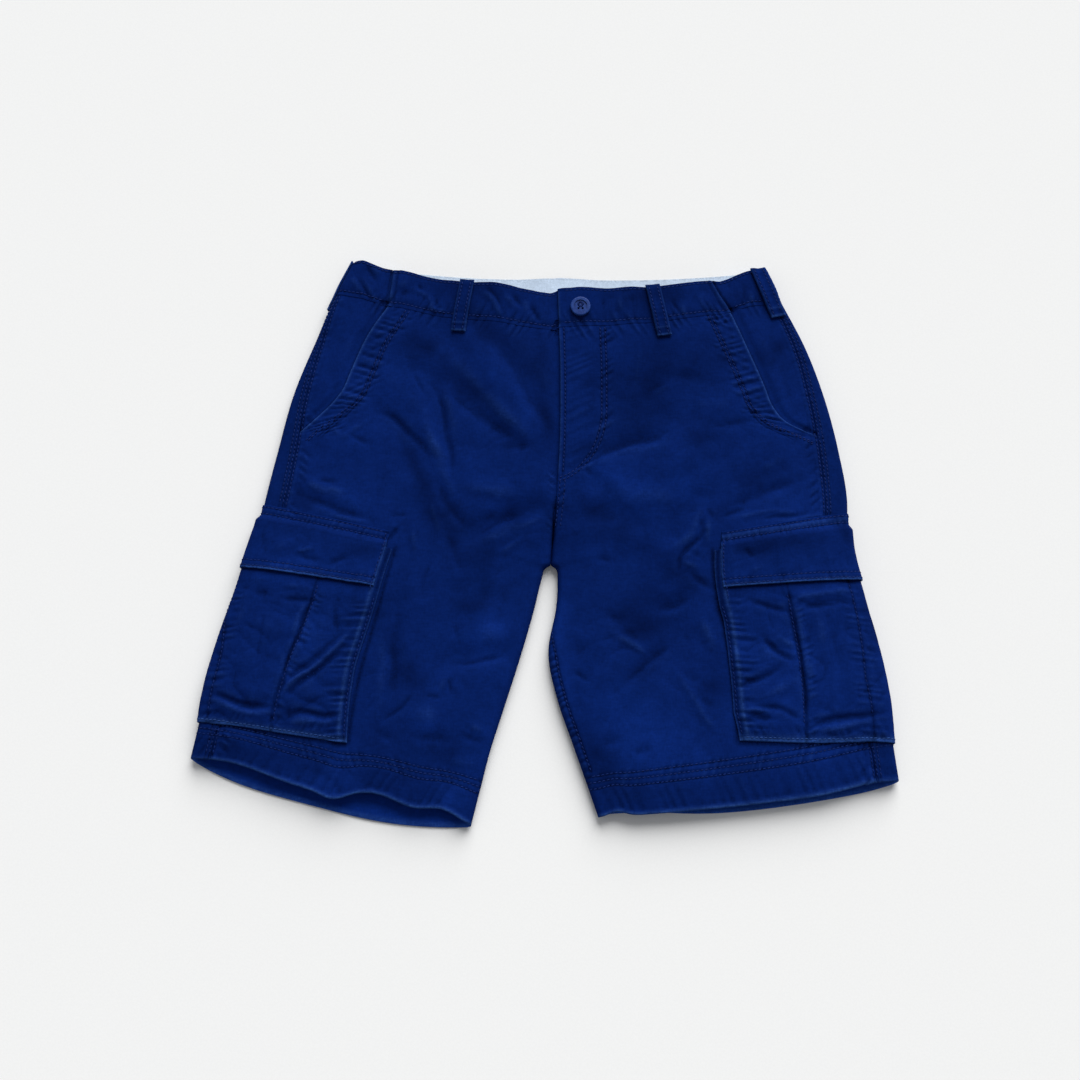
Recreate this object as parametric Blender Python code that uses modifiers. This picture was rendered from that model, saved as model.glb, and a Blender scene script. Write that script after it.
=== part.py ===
"""Cargo shorts laid flat on their back, front up: every sewn piece is its own closed solid.

World frame, metres here and millimetres in the tables: +X across the garment, +Y from the hems
to the waist, +Z up. The cloth lies on z = 0.

The cloth is one bent surface for each side of the garment, read with two lengths in millimetres:
q runs round the leg (0 on the side fold, plus over the front to the centre front or the inseam,
minus under the back to the centre back or the inseam), v runs down from the waist edge.
Each piece is a patch of that surface between its seams, moved out by its own lift.
"""

import math

import bmesh
import bpy
import numpy as np
from mathutils import Vector

MM = 0.001
MIDDLE = np.array([-0.75, 1.9, 0.0])  # mm, of the whole garment in plan: the frame's origin

# ---- named sizes, mm ---------------------------------------------------------------------
CLOTH = 1.2  # wall of one panel
GAP = 0.3  # between pieces
WAIST_SEAM = 30.0  # depth of the waistband
CROTCH = 210.0
HEM = 424.0
HEM_DEPTH = 27.0
HEM_WALL = 2.2  # turned-up cloth
FOLD_R = 4.5  # of the side fold and of the inseam fold
BAND_WALL = 2.4  # front waistband, two layers
BAND_LIFT = 0.9  # of the waistband over the panels
UNDERLAP = 34.0  # of the waistband under the button end
FLY_WIDTH = 34.0
FLY_STRAIGHT = 105.0  # v where the J turns
FLY_END = 150.0
MOUTH_END = 150.0  # v where the slanted mouth meets the side seam
FACING_TUCK = 20.0  # hip piece under the front panel
LOOP_WIDTH = 12.0
LOOP_WALL = 2.0
LOOP_GAP = 0.5
LOOP_RAISE = LOOP_WALL + LOOP_GAP  # of the cloth that rests on a loop
POCKET_WALL = 1.2
FLAP_WALL = 1.4
FLAP_STITCHED = 12.0  # of the flap's top, sewn down flat
POCKET_DEEP = 165.0
BUTTON_R, BUTTON_H = 8.25, 3.0
BUTTON_AT = 18.5, 15.5  # from the overlap edge, and down from the waist edge

# ---- sections down the garment -----------------------------------------------------------
# v, side fold x y, sag of the section on the front and on the back
SIDE_FOLDS = {
    "left": (
        (0, -158, 231, 4.0, 4.5),
        (30, -171.5, 203, 5.0, 4.5),
        (75, -189, 161, 3.0, 3.0),
        (120, -205, 117, 2.0, 1.0),
        (165, -215.5, 72, 1.0, 0.5),
        (210, -224.5, 28, 0.0, 0.0),
        (230, -227.5, 9, 0.0, 0.0),
        (250, -233, -10, 0.0, 1.0),
        (290, -244, -48, 0.0, 3.0),
        (330, -256, -86, 0.0, 6.0),
        (370, -265.5, -126, 0.0, 10.0),
        (395, -269.5, -152, 0.0, 13.0),
        (424, -275, -180, 0.0, 14.0),
    ),
    "right": (
        (0, 182.5, 225, 5.5, 3.5),
        (30, 195, 198, 5.5, 3.5),
        (75, 214, 157, 3.5, 2.5),
        (120, 228, 114, 2.0, 1.0),
        (165, 237.5, 70, 1.0, 0.5),
        (210, 242.5, 26, 0.0, 0.0),
        (230, 241.3, 6, 0.0, 0.0),
        (250, 242.3, -14, 0.0, 0.5),
        (290, 251, -53, 0.5, 2.0),
        (330, 260.5, -92, 1.5, 4.0),
        (370, 267, -131, 2.5, 6.0),
        (395, 269, -159, 3.0, 7.0),
        (424, 273.5, -197, 3.0, 7.0),
    ),
}
# v, centre front seam x y, centre back seam x y, down to the crotch
CENTRE_SEAMS = (
    (0, 10.0, 205, 12.0, 219),
    (30, 11.0, 172, 12.0, 188),
    (75, 12.0, 128, 11.5, 137),
    (120, 11.5, 80, 11.0, 84),
    (165, 9.0, 32, 9.0, 32),
    (210, 4.5, -24, 4.5, -24),
)
# v, inseam x y, from the crotch to the hem
INSEAMS = {
    "left": (
        (210, 4.5, -24),
        (214, 0.0, -27),
        (222, -2.0, -33.5),
        (230, -4.0, -41),
        (250, -8.2, -59),
        (290, -19.0, -97),
        (330, -31.0, -135),
        (370, -43.0, -173),
        (395, -49.0, -197),
        (424, -57.0, -229),
    ),
    "right": (
        (210, 4.5, -24),
        (214, 8.6, -27),
        (222, 9.6, -34),
        (230, 9.6, -41),
        (250, 8.5, -58),
        (290, 2.3, -94),
        (330, 9.0, -130),
        (370, 22.0, -168),
        (395, 31.0, -194),
        (424, 40.5, -222),
    ),
}
# v of the rows of the panels
FRONT_ROWS = (36, 48, 61, 74, 87, 100, 113, 126, 138, 150, 161, 172, 183, 193, 202, 210, 214, 222, 233)
FRONT_ROWS += (246, 259, 272, 285, 298, 311, 324, 337, 350, 363, 376, 387, 396, 398, 411, HEM)
BACK_ROWS = {
    "left": [47, 61, 75, 96, 122, 146, 170, 184, 197, 210, 214, 226, 238, 250, 261, 272, 283, 294]
    + [312, 332, 352, 372, 384, 396, 398, 411, HEM],
    "right": [47, 61, 75, 96, 122, 146, 170, 184, 198, 210, 214, 230, 242, 254, 266, 278, 289, 300]
    + [318, 337, 356, 374, 385, 396, 398, 404, HEM],
}
# waves of the front hem: side, q, half width, drop
HEM_WAVES = (
    ("left", -100, 48, -2.6),
    ("left", 36, 38, -7.0),
    ("left", 117, 13, 4.5),
    ("left", 152, 27, -8.5),
    ("left", 203, 18, -8.0),
    ("right", -205, 42, -4.2),
    ("right", 22, 30, -4.2),
    ("right", 222, 9, -3.5),
)
# v, height at the side fold, height in the middle, share of the drop at the centre line
HEIGHTS = (
    (0, 9.5, 17.0, 0.0),
    (30, 9.5, 18.0, 0.0),
    (75, 9.5, 19.5, 0.0),
    (120, 9.5, 20.0, 0.0),
    (160, 9.5, 20.0, 0.0),
    (190, 9.5, 19.0, 0.45),
    (210, 9.5, 18.5, 1.0),
    (250, 9.5, 18.5, 1.0),
    (330, 9.5, 18.0, 1.0),
    (395, 9.5, 15.5, 1.0),
    (424, 9.0, 14.0, 1.0),
)
# v, side seam on the left, on the right (q: how far it lies onto the front)
SIDE_SEAMS = (
    (0, 5, 10),
    (30, 5, 10),
    (75, 9, 12),
    (120, 14, 16),
    (165, 18, 19),
    (210, 20, 22),
    (424, 19, 21),
)
# v, edge of the slanted pocket mouth on the left, on the right (q)
POCKET_MOUTHS = (
    (30, 46, 46),
    (75, 41, 49),
    (105, 41, 48),
    (120, 37, 47),
    (135, 28, 40),
    (150, 17, 20),
)
# folds of the front: from x y to x y, half width, height (ridge plus, trough minus)
FOLDS = (
    (-84, 168, -52, 112, 13, -2.2),
    (-61, 158, -4, 85, 15, 2.4),
    (-135, 104, -91, 64, 10, -2.0),
    (-87, 121, -78, 56, 10, -2.0),
    (-104, 56, -71, 36, 12, -2.2),
    (-61, -1, -6, 19, 9, -2.4),
    (-120, -58, -120, -95, 11, -2.2),
    (-48, -70, -46, -76, 19, 2.4),
    (-97, -141, -95, -148, 22, 2.6),
    (-71, -100, -34, -95, 9, -2.0),
    (58, 56, 112, 60, 24, 3.4),
    (42, 38, 72, 8, 10, -2.8),
    (121, 27, 102, -2, 10, -2.6),
    (75, -28, 93, -78, 24, -4.0),
    (57, -118, 104, -156, 30, 2.8),
)
# lift of the cargo pocket across its width, from its front edge to its back edge under the leg
POCKET_ACROSS = (
    (112.5, 1.5),
    (110.0, 2.4),
    (107.5, 4.2),
    (99.0, 4.7),
    (82.0, 4.8),
    (64.2, 4.6),
    (62.6, 5.8),
    (50.0, 6.1),
    (36.0, 6.1),
    (22.0, 5.7),
    (12.6, 5.0),
    (11.0, 3.9),
    (7.1, 3.5),
    (3.6, 3.1),
    (0.0, 2.7),
    (-2.4, 2.4),
    (-4.8, 2.0),
    (-7.4, 1.5),
    (-20.0, 1.5),
    (-34.0, 1.5),
    (-48.0, 1.5),
)
# share of that lift, from the mouth of the pocket down to its bottom edge
POCKET_DOWN = ((0, 0.85), (0.12, 0.95), (0.4, 1.0), (0.82, 1.0), (0.93, 0.8), (0.985, 0.25), (1, 0.0))
# side: v at the side fold, how far it rises towards the front edge, and how much the pocket widens
POCKET_BOTTOM = {"left": (393.0, 8.0, 0.07), "right": (401.5, 20.0, 0.1)}
# side: v of the flap's top and bottom at its front edge, how far both fall towards the side fold
FLAP = {"left": (214.0, 262.0, 0.0, 7.0), "right": (214.0, 262.0, 5.0, 13.0)}
# v, height of the lower layer over the pocket and the flap that pass under it
RAISED = {
    "left": ((170, 0), (210, 1.9), (226, 3.2), (272, 3.2), (294, 1.5), (396, 1.5), (424, 0)),
    "right": ((170, 0), (214, 1.9), (230, 3.2), (278, 3.2), (300, 1.5), (404, 1.5), (424, 0)),
}
# belt loops: side, q at the top, q at the bottom, length below the waist edge, arch off the band
LOOPS = {
    "belt_loop_front_left": ("left", 98.0, 111.0, 44.0, 1.6),
    "belt_loop_front_right": ("right", 97.5, 108.0, 46.0, 1.6),
    "belt_loop_side_right": ("right", 10.0, 12.5, 45.0, 1.2),
    "belt_loop_side_left": ("left", -5.0, -5.0, 45.0, 0.0),
    "belt_loop_back": ("left", None, None, 45.0, 0.0),
}

SIDE = {side: np.array(rows, float).T for side, rows in SIDE_FOLDS.items()}
INSEAM = {side: np.array(rows, float).T for side, rows in INSEAMS.items()}
CENTRE = np.array(CENTRE_SEAMS, float).T
HEIGHT = np.array(HEIGHTS, float).T
SEAM = np.array(SIDE_SEAMS, float).T
MOUTH = np.array(POCKET_MOUTHS, float).T
COLUMN = {"left": 1, "right": 2}


# ---- reading the tables -------------------------------------------------------------------
def curve(at, rows, v):
    """Smooth curve through a table's column, carried on straight past both ends."""
    v = np.asarray(v, float)
    step = np.diff(rows) / np.diff(at)
    slope = np.concatenate([step[:1], (step[:-1] + step[1:]) / 2, step[-1:]])
    slope = np.where(np.concatenate([[False], step[:-1] * step[1:] <= 0, [False]]), 0, slope)
    i = np.clip(np.searchsorted(at, v, side="right") - 1, 0, len(at) - 2)
    h = at[i + 1] - at[i]
    t = np.clip((v - at[i]) / h, 0, 1)
    inside = (
        rows[i] * (1 + 2 * t) * (1 - t) ** 2
        + rows[i + 1] * t * t * (3 - 2 * t)
        + slope[i] * h * t * (1 - t) ** 2
        - slope[i + 1] * h * t * t * (1 - t)
    )
    before = np.minimum(v - at[0], 0) * slope[0]
    after = np.maximum(v - at[-1], 0) * slope[-1]
    return inside + before + after


def soft(x, start, end):
    """0 at start, 1 at end, smooth between."""
    t = np.clip((np.asarray(x, float) - start) / (end - start), 0, 1)
    return t * t * (3 - 2 * t)


def seam_q(side, v):
    return curve(SEAM[0], SEAM[COLUMN[side]], v)


def mouth_q(side, v):
    return curve(MOUTH[0], MOUTH[COLUMN[side]], v)


def to_front(p):
    """0 at the side fold and under the leg, 1 at the front edge of the pocket."""
    return np.clip(np.asarray(p, float) / 111, 0, 1)


def pocket_bottom(side, p):
    low, rise, _ = POCKET_BOTTOM[side]
    return low - rise * to_front(p)


def flap_edges(side, p):
    top, low, top_fall, low_fall = FLAP[side]
    return top + top_fall * (1 - to_front(p)), low + low_fall * (1 - to_front(p))


def pocket_top(side, p):
    return flap_edges(side, p)[0] + FLAP_STITCHED + 3


def pocket_q(side, p, v):
    """q of a line of the pocket: the pocket widens downwards."""
    widen = POCKET_BOTTOM[side][2] * np.clip((v - 228) / POCKET_DEEP, 0, 1.1) ** 1.5
    return p * np.where(p > 0, 1 + widen, 1)


# ---- the cloth surface --------------------------------------------------------------------
def underside(side, q, v):
    """Height of the lower layer: it lies on z = 0 except over what is sewn under it."""
    at, height = np.array(RAISED[side], float).T
    raised = np.interp(v, at, height) * np.clip((np.asarray(q, float) + 85) / 35, 0, 1)
    above = 1 - soft(v, 47, 75)
    if side == "left":
        raised = raised + LOOP_RAISE * soft(q, -36, -13) * above
    _, reach = lengths(side, v)
    return raised + LOOP_RAISE * (1 - soft(reach + q, 7, 36)) * above


def ends(side, v):
    """Both ends of a section in plan: the side fold, then the centre line of the front, the back."""
    t, c, n = SIDE[side], CENTRE, INSEAM[side]
    at = [curve(t[0], t[i], v) for i in (1, 2)]
    for front_or_back in (c[1], c[2], c[3], c[4]):
        at.append(curve(c[0], front_or_back, np.minimum(v, CROTCH)))
    leg = [curve(n[0], n[i], np.maximum(v, CROTCH)) for i in (1, 2)] * 2
    return at[:2] + [np.where(np.asarray(v) > CROTCH, low, high) for low, high in zip(leg, at[2:])]


def lengths(side, v):
    """Cloth length of a section from the side fold to the centre line: over the front, the back."""
    ox, oy, fx, fy, bx, by = ends(side, v)
    k = np.clip(curve(HEIGHT[0], HEIGHT[3], v), 0, 1)
    more = (math.pi / 2 - 1) * FOLD_R * (1 + k) - 0.2
    return np.hypot(fx - ox, fy - oy) + more, np.hypot(bx - ox, by - oy) + more


def fold_relief(x, y):
    total = np.zeros_like(x)
    for x0, y0, x1, y1, width, height in FOLDS:
        dx, dy = x1 - x0, y1 - y0
        along = np.clip(((x - x0) * dx + (y - y0) * dy) / (dx * dx + dy * dy), 0, 1)
        away = (x - x0 - along * dx) ** 2 + (y - y0 - along * dy) ** 2
        total += height * np.exp(-away / width**2)
    return total


def hem_wave(side, q):
    waves = [row[1:] for row in HEM_WAVES if row[0] == side]
    return sum(drop * np.exp(-(((q - at) / width) ** 2)) for at, width, drop in waves)


def skin(side, q, v):
    """Points of the cloth's outer face. What passes a centre seam follows the other side."""
    q, v = np.broadcast_arrays(np.asarray(q, float), np.asarray(v, float))
    points = half_skin(side, q, v)
    if side == "right":
        return points
    (front, back), (other_front, other_back) = lengths("left", v), lengths("right", v)
    high = v < FLY_END + 2
    past = ((q > front) & high)[..., None]
    points = np.where(past, half_skin("right", other_front - (q - front), v), points)
    past = ((-q > back) & high)[..., None]
    return np.where(past, half_skin("right", -other_back - (q + back), v), points)


def half_skin(side, q, v):
    """Points of one side's outer face, as an array of x y z in mm."""
    ox, oy, fx, fy, bx, by = ends(side, v)
    front_sag, back_sag = (curve(SIDE[side][0], SIDE[side][i], v) for i in (3, 4))
    front = q >= 0
    ix, iy = np.where(front, fx, bx), np.where(front, fy, by)
    sag = np.where(front, front_sag, back_sag)
    width = np.hypot(ix - ox, iy - oy)
    ex, ey = (ix - ox) / width, (iy - oy) / width
    width = width - 0.2
    k = np.clip(curve(HEIGHT[0], HEIGHT[3], v), 0, 1)
    inner_r = np.maximum(FOLD_R * k, 1e-3)
    length = width + (math.pi / 2 - 1) * (FOLD_R + inner_r)
    a = np.abs(q)
    rest = length - a
    turn = math.pi / 2
    outer = np.clip(a / FOLD_R, 0, turn)
    inner = np.clip(rest / inner_r, -1, turn)
    across = np.where(
        a < turn * FOLD_R,
        FOLD_R * (1 - np.cos(outer)),
        FOLD_R + a - turn * FOLD_R,
    )
    across = np.where(
        rest < turn * inner_r,
        width - inner_r * (1 - np.cos(inner)),
        across,
    )
    share = across / width
    in_width = np.clip(share, 0, 1)
    x = ox + ex * across
    y = oy + ey * across - sag * 4 * in_width * (1 - in_width)
    y = y - hem_wave(side, q) * soft(v, 376, HEM)
    edge, middle = curve(HEIGHT[0], HEIGHT[1], v), curve(HEIGHT[0], HEIGHT[2], v)
    raised = underside(side, -8.0, v) * (1 - in_width) ** 3
    half = edge / 2 + raised
    open_top = edge + (middle - edge) * (1 - (1 - in_width) ** 3)
    tube_top = edge + (middle - edge) * (1 - np.abs(2 * in_width - 1) ** 3)
    top = (1 - k) * open_top + k * tube_top + raised + fold_relief(x, y) * np.sin(outer)
    fall = np.sin(outer) * (1 - k * (1 - np.sin(inner)))
    z = np.where(
        front,
        half + (top - half) * fall,
        half - (half - underside(side, np.minimum(q, -8.0), v)) * fall,
    )
    return np.stack([x, y, z], axis=-1)


def cloth(side, q, v, lift):
    """Points at a height over the outer face: lift plus is outwards, minus into the cloth."""
    q, v = np.broadcast_arrays(np.asarray(q, float), np.asarray(v, float))
    along_q = skin(side, q + 0.3, v) - skin(side, q - 0.3, v)
    along_v = skin(side, q, v + 0.8) - skin(side, q, v - 0.8)
    out = np.cross(along_q, along_v) * (1 if side == "right" else -1)
    out /= np.linalg.norm(out, axis=-1, keepdims=True)
    return skin(side, q, v) + out * np.asarray(lift, float)[..., None]


def pocket_lift(side, p, v):
    across = np.array(POCKET_ACROSS[::-1]).T
    down = np.array(POCKET_DOWN).T
    top = pocket_top(side, p)
    share = np.interp((v - top) / (pocket_bottom(side, p) - top), down[0], down[1])
    sewn = 1.5 + 0.3 * (1 - soft(np.abs(p), 4, 7.4))
    return sewn + (np.interp(p, across[0], across[1]) - sewn) * share


# ---- materials and objects ----------------------------------------------------------------
def material(name, colour, roughness):
    made = bpy.data.materials.new(name)
    made.use_nodes = True
    shader = made.node_tree.nodes["Principled BSDF"]
    shader.inputs["Base Color"].default_value = (*colour, 1)
    shader.inputs["Roughness"].default_value = roughness
    shader.inputs["Metallic"].default_value = 0
    made.diffuse_color = (*colour, 1)
    return made


def add(name, bm, into, look):
    bmesh.ops.recalc_face_normals(bm, faces=bm.faces)
    if bm.calc_volume(signed=True) < 0:
        bmesh.ops.reverse_faces(bm, faces=bm.faces)
    mesh = bpy.data.meshes.new(name)
    bm.to_mesh(mesh)
    bm.free()
    made = bpy.data.objects.new(name, mesh)
    into.objects.link(made)
    if look:
        mesh.materials.append(look)
    return made


def sheet(name, outer, inner, into, look):
    """A closed wall of cloth between two grids of points (rows, columns, xyz in mm)."""
    rows, columns = outer.shape[:2]
    bm = bmesh.new()
    bmesh.ops.create_grid(bm, x_segments=columns - 1, y_segments=rows - 1, size=1)
    at = {v: (round((v.co.y + 1) / 2 * (rows - 1)), round((v.co.x + 1) / 2 * (columns - 1))) for v in bm.verts}
    raised = bmesh.ops.extrude_face_region(bm, geom=bm.faces[:])["geom"]
    moved = [v for v in raised if isinstance(v, bmesh.types.BMVert)]
    for v in moved:
        i, j = round((v.co.y + 1) / 2 * (rows - 1)), round((v.co.x + 1) / 2 * (columns - 1))
        v.co = Vector((outer[i, j] - MIDDLE) * MM)
    for v, (i, j) in at.items():
        v.co = Vector((inner[i, j] - MIDDLE) * MM)
    return add(name, bm, into, look)


def patch(name, side, q_rows, v_rows, lift, wall, into, look):
    """A piece of one side of the garment: q and v of each grid point, its lift and its wall."""
    q, v = np.asarray(q_rows, float), np.asarray(v_rows, float)
    lift = lift(q, v) if callable(lift) else np.broadcast_to(lift, q.shape)
    wall = wall(q, v) if callable(wall) else wall
    return sheet(name, cloth(side, q, v, lift), cloth(side, q, v, lift - wall), into, look)


def spread(start, end, count):
    """Columns from start to end for each row."""
    start, end = np.asarray(start, float), np.asarray(end, float)
    return start[:, None] + (end - start)[:, None] * np.linspace(0, 1, count)


def hem_wall(q, v):
    return CLOTH + (HEM_WALL - CLOTH) * soft(v, HEM - HEM_DEPTH - 1, HEM - HEM_DEPTH + 1)


# ---- the panels ---------------------------------------------------------------------------
def underlap(v):
    """How far the left front goes under the fly edge."""
    return 10.0 * (1 - soft(v, 132, FLY_END)) - 0.15


def dip(q, v, reach):
    """How far the left front sinks under the fly edge."""
    return 3.1 * soft(q, reach - 13, reach - 1) * (1 - soft(v, FLY_END + 2, FLY_END + 24))


def front_panel(side, into, look):
    v = np.array((WAIST_SEAM + GAP / 2,) + FRONT_ROWS, float)
    reach, _ = lengths(side, v)
    edge = np.where(v < MOUTH_END, mouth_q(side, v), seam_q(side, v)) + GAP / 2
    end = reach - 0.15
    if side == "left":
        end = reach + np.where(v < FLY_END, underlap(v), -0.15)
    near = reach - 13.0
    q = np.concatenate(
        [
            spread(edge, near, 14),
            near[:, None] + (end - near)[:, None] * np.array([0.3, 0.55, 0.75, 0.9, 1.0]),
        ],
        axis=1,
    )
    v = np.broadcast_to(v[:, None], q.shape)

    def lift(q, v):
        return -dip(q, v, reach[:, None]) if side == "left" else np.zeros(q.shape)

    return patch(f"front_{side}", side, q, v, lift, hem_wall, into, look)


def hip_piece(side, into, look):
    v = np.concatenate([[WAIST_SEAM + GAP / 2, 36], np.linspace(48, MOUTH_END + 8, 10)])
    start = seam_q(side, v) + GAP / 2
    end = np.where(v < MOUTH_END, mouth_q(side, np.minimum(v, MOUTH_END)), start) + FACING_TUCK
    q = spread(start, end, 8)
    v = np.broadcast_to(v[:, None], q.shape)
    return patch(f"hip_piece_{side}", side, q, v, -CLOTH - GAP - 0.1, CLOTH, into, look)


def back_panel(side, into, look):
    v = np.array([WAIST_SEAM + GAP / 2] + BACK_ROWS[side], float)
    _, reach = lengths(side, v)
    start = seam_q(side, v) - GAP / 2
    flat = np.minimum(start - 1.0, 7.5)
    near = -(reach - 7.5)
    q = np.concatenate(
        [
            start[:, None],
            spread(flat, np.full(len(v), -7.5), 7),
            np.tile([-28.0, -50.0], (len(v), 1)),
            spread(np.full(len(v), -85.0), near, 6),
            spread(near, -(reach - 0.15), 4)[:, 1:],
        ],
        axis=1,
    )
    v = np.broadcast_to(v[:, None], q.shape)
    return patch(f"back_{side}", side, q, v, 0.0, hem_wall, into, look)


def fly_facing(into, look):
    v = np.linspace(WAIST_SEAM + 1, FLY_END + 1, 12)
    reach, _ = lengths("right", v)
    turn = np.clip((v - FLY_STRAIGHT) / (FLY_END + 4 - FLY_STRAIGHT), 0, 1)
    wide = FLY_WIDTH * np.sqrt(1 - turn**2) + 2
    q = spread(reach - wide, reach - 0.6, 5)
    v = np.broadcast_to(v[:, None], q.shape)
    return patch("fly_facing", "right", q, v, -CLOTH - GAP, CLOTH, into, look)


# ---- waistband ----------------------------------------------------------------------------
def band_seam(side, v):
    top, low = {"left": (36.0, 46.0), "right": (48.0, 45.0)}[side]
    return top + (low - top) * v / WAIST_SEAM


def band_lift(q, v):
    return BAND_LIFT * soft(q, -7, 5) * soft(v, -1, 3)


def band_rows():
    return np.array([0.0, 4.0, 14.0, 24.0, WAIST_SEAM - GAP / 2])


def waistband_front(side, into, look):
    v = band_rows()
    reach, _ = lengths(side, v)
    start = band_seam(side, v) + GAP / 2
    if side == "right":
        q = spread(start, reach - 0.15, 14)
    else:
        q = np.concatenate([spread(start, reach - 15, 11), spread(reach - 15, reach + UNDERLAP, 9)[:, 1:]], axis=1)
    v = np.broadcast_to(v[:, None], q.shape)

    def lift(q, v):
        under = 0.0 if side == "right" else soft(q, reach[:, None] - 14, reach[:, None] - 1)
        return band_lift(q, v) - 3.0 * under

    return patch(f"waistband_front_{side}", side, q, v, lift, BAND_WALL, into, look)


def waistband_round(name, drop, into, look):
    """The strip from one front seam round both sides and the back to the other."""
    v = band_rows()
    halves = []
    for side in ("left", "right"):
        _, reach = lengths(side, v)
        start = band_seam(side, v) - GAP / 2
        q = np.concatenate(
            [
                spread(start, np.full(len(v), 8.0), 5)[:, :-1],
                spread(np.full(len(v), 8.0), np.full(len(v), -8.0), 8),
                spread(np.full(len(v), -8.0), -reach, 10)[:, 1:],
            ],
            axis=1,
        )
        vv = np.broadcast_to(v[:, None], q.shape)
        lift = band_lift(q, vv) - drop
        halves.append((cloth(side, q, vv, lift), cloth(side, q, vv, lift - CLOTH)))
    (left_out, left_in), (right_out, right_in) = halves
    right_out, right_in = right_out[:, ::-1], right_in[:, ::-1]
    middle_out = (left_out[:, -1:] + right_out[:, :1]) / 2
    middle_in = (left_in[:, -1:] + right_in[:, :1]) / 2
    outer = np.concatenate([left_out[:, :-1], middle_out, right_out[:, 1:]], axis=1)
    inner = np.concatenate([left_in[:, :-1], middle_in, right_in[:, 1:]], axis=1)
    return sheet(name, outer, inner, into, look)


def belt_loop(name, into, look):
    side, top_q, low_q, length, arch = LOOPS[name]
    v = np.array([-0.6, 3.0, 10.0, 18.0, 26.0, 34.0, length - 4.0, length])
    if top_q is None:
        _, reach = lengths(side, v)
        centre = -reach
    else:
        centre = top_q + (low_q - top_q) * v / length
    q = spread(centre - LOOP_WIDTH / 2, centre + LOOP_WIDTH / 2, 5)
    v = np.broadcast_to(v[:, None], q.shape)

    def lift(q, v):
        over = BAND_LIFT * soft(q, -7, 5) * (1 - soft(v, WAIST_SEAM + 1, WAIST_SEAM + 7))
        rise = arch * np.sin(np.pi * np.clip(v / length, 0, 1)) ** 0.7
        return over + LOOP_GAP + LOOP_WALL + rise

    return patch(name, side, q, v, lift, LOOP_WALL, into, look)


# ---- cargo pockets ------------------------------------------------------------------------
def cargo_pocket(side, into, look):
    p_line = np.array([row[0] for row in POCKET_ACROSS])
    low, top = pocket_bottom(side, 0), pocket_top(side, 0)
    rows = [top, 240, 251, 262, 273, 284, 295, 312, 332, 352, low - 30, low - 18, low - 9, low - 2.5, low]
    share = ((np.array(rows) - top) / (low - top))[:, None]
    p = np.broadcast_to(p_line, (len(share), len(p_line)))
    v = pocket_top(side, p) * (1 - share) + pocket_bottom(side, p) * share
    lift = pocket_lift(side, p, v)
    return patch(f"cargo_pocket_{side}", side, pocket_q(side, p, v), v, lift, POCKET_WALL, into, look)


def pocket_flap(side, into, look):
    p_line = np.array([row[0] for row in POCKET_ACROSS if row[0] < 108])
    stitched = np.array([0, 6, 11, FLAP_STITCHED + 2])
    share = np.array([0.12, 0.35, 0.62, 0.85, 1.0])[:, None]
    p = np.broadcast_to(p_line, (len(stitched) + len(share), len(p_line)))
    top, low = flap_edges(side, p_line)
    loose = top + stitched[-1]
    v = np.concatenate([top + stitched[:, None], loose + (low - loose) * share])
    on_pocket = soft(v - top, FLAP_STITCHED - 4, FLAP_STITCHED + 2)
    under = pocket_lift(side, p, np.maximum(v, pocket_top(side, p)))
    lift = GAP + FLAP_WALL + 0.2 * (1 - on_pocket) + under * on_pocket
    return patch(f"pocket_flap_{side}", side, pocket_q(side, p, v), v, lift, FLAP_WALL, into, look)


# ---- button -------------------------------------------------------------------------------
def disc(radius, height, at, segments=32):
    bm = bmesh.new()
    bmesh.ops.create_cone(
        bm, cap_ends=True, segments=segments, radius1=radius * MM, radius2=radius * MM, depth=height * MM
    )
    bmesh.ops.translate(bm, verts=bm.verts, vec=Vector(at) * MM)
    return bm


def button(into, cutters, look):
    reach, _ = lengths("right", BUTTON_AT[1])
    q, v = float(reach) - BUTTON_AT[0], BUTTON_AT[1]
    foot = cloth("right", q, v, BAND_LIFT + GAP + 0.25)
    out = cloth("right", q, v, BAND_LIFT + GAP + 1.25) - foot
    turn = Vector((0, 0, 1)).rotation_difference(Vector(out))
    place = turn.to_matrix().to_4x4()
    place.translation = Vector((foot - MIDDLE) * MM)
    body = add("button", disc(BUTTON_R, BUTTON_H, (0, 0, BUTTON_H / 2)), into, look)
    dish = add("button_dish", disc(5.4, 2.0, (0, 0, BUTTON_H + 0.1)), cutters, None)
    holes = bmesh.new()
    for x in (-1.7, 1.7):
        for y in (-1.7, 1.7):
            one = disc(0.95, 8.0, (x, y, BUTTON_H / 2), 12)
            mesh = bpy.data.meshes.new("hole")
            one.to_mesh(mesh)
            one.free()
            holes.from_mesh(mesh)
            bpy.data.meshes.remove(mesh)
    holes = add("button_holes", holes, cutters, None)
    for made in (body, dish, holes):
        made.matrix_world = place
    edge = body.modifiers.new("rim", "BEVEL")
    edge.width, edge.segments, edge.limit_method = 0.9 * MM, 3, "ANGLE"
    for cutter in (dish, holes):
        cut = body.modifiers.new(cutter.name, "BOOLEAN")
        cut.operation, cut.solver, cut.object = "DIFFERENCE", "EXACT", cutter
        cutter.hide_render = True
        cutter.display_type = "WIRE"


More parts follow.
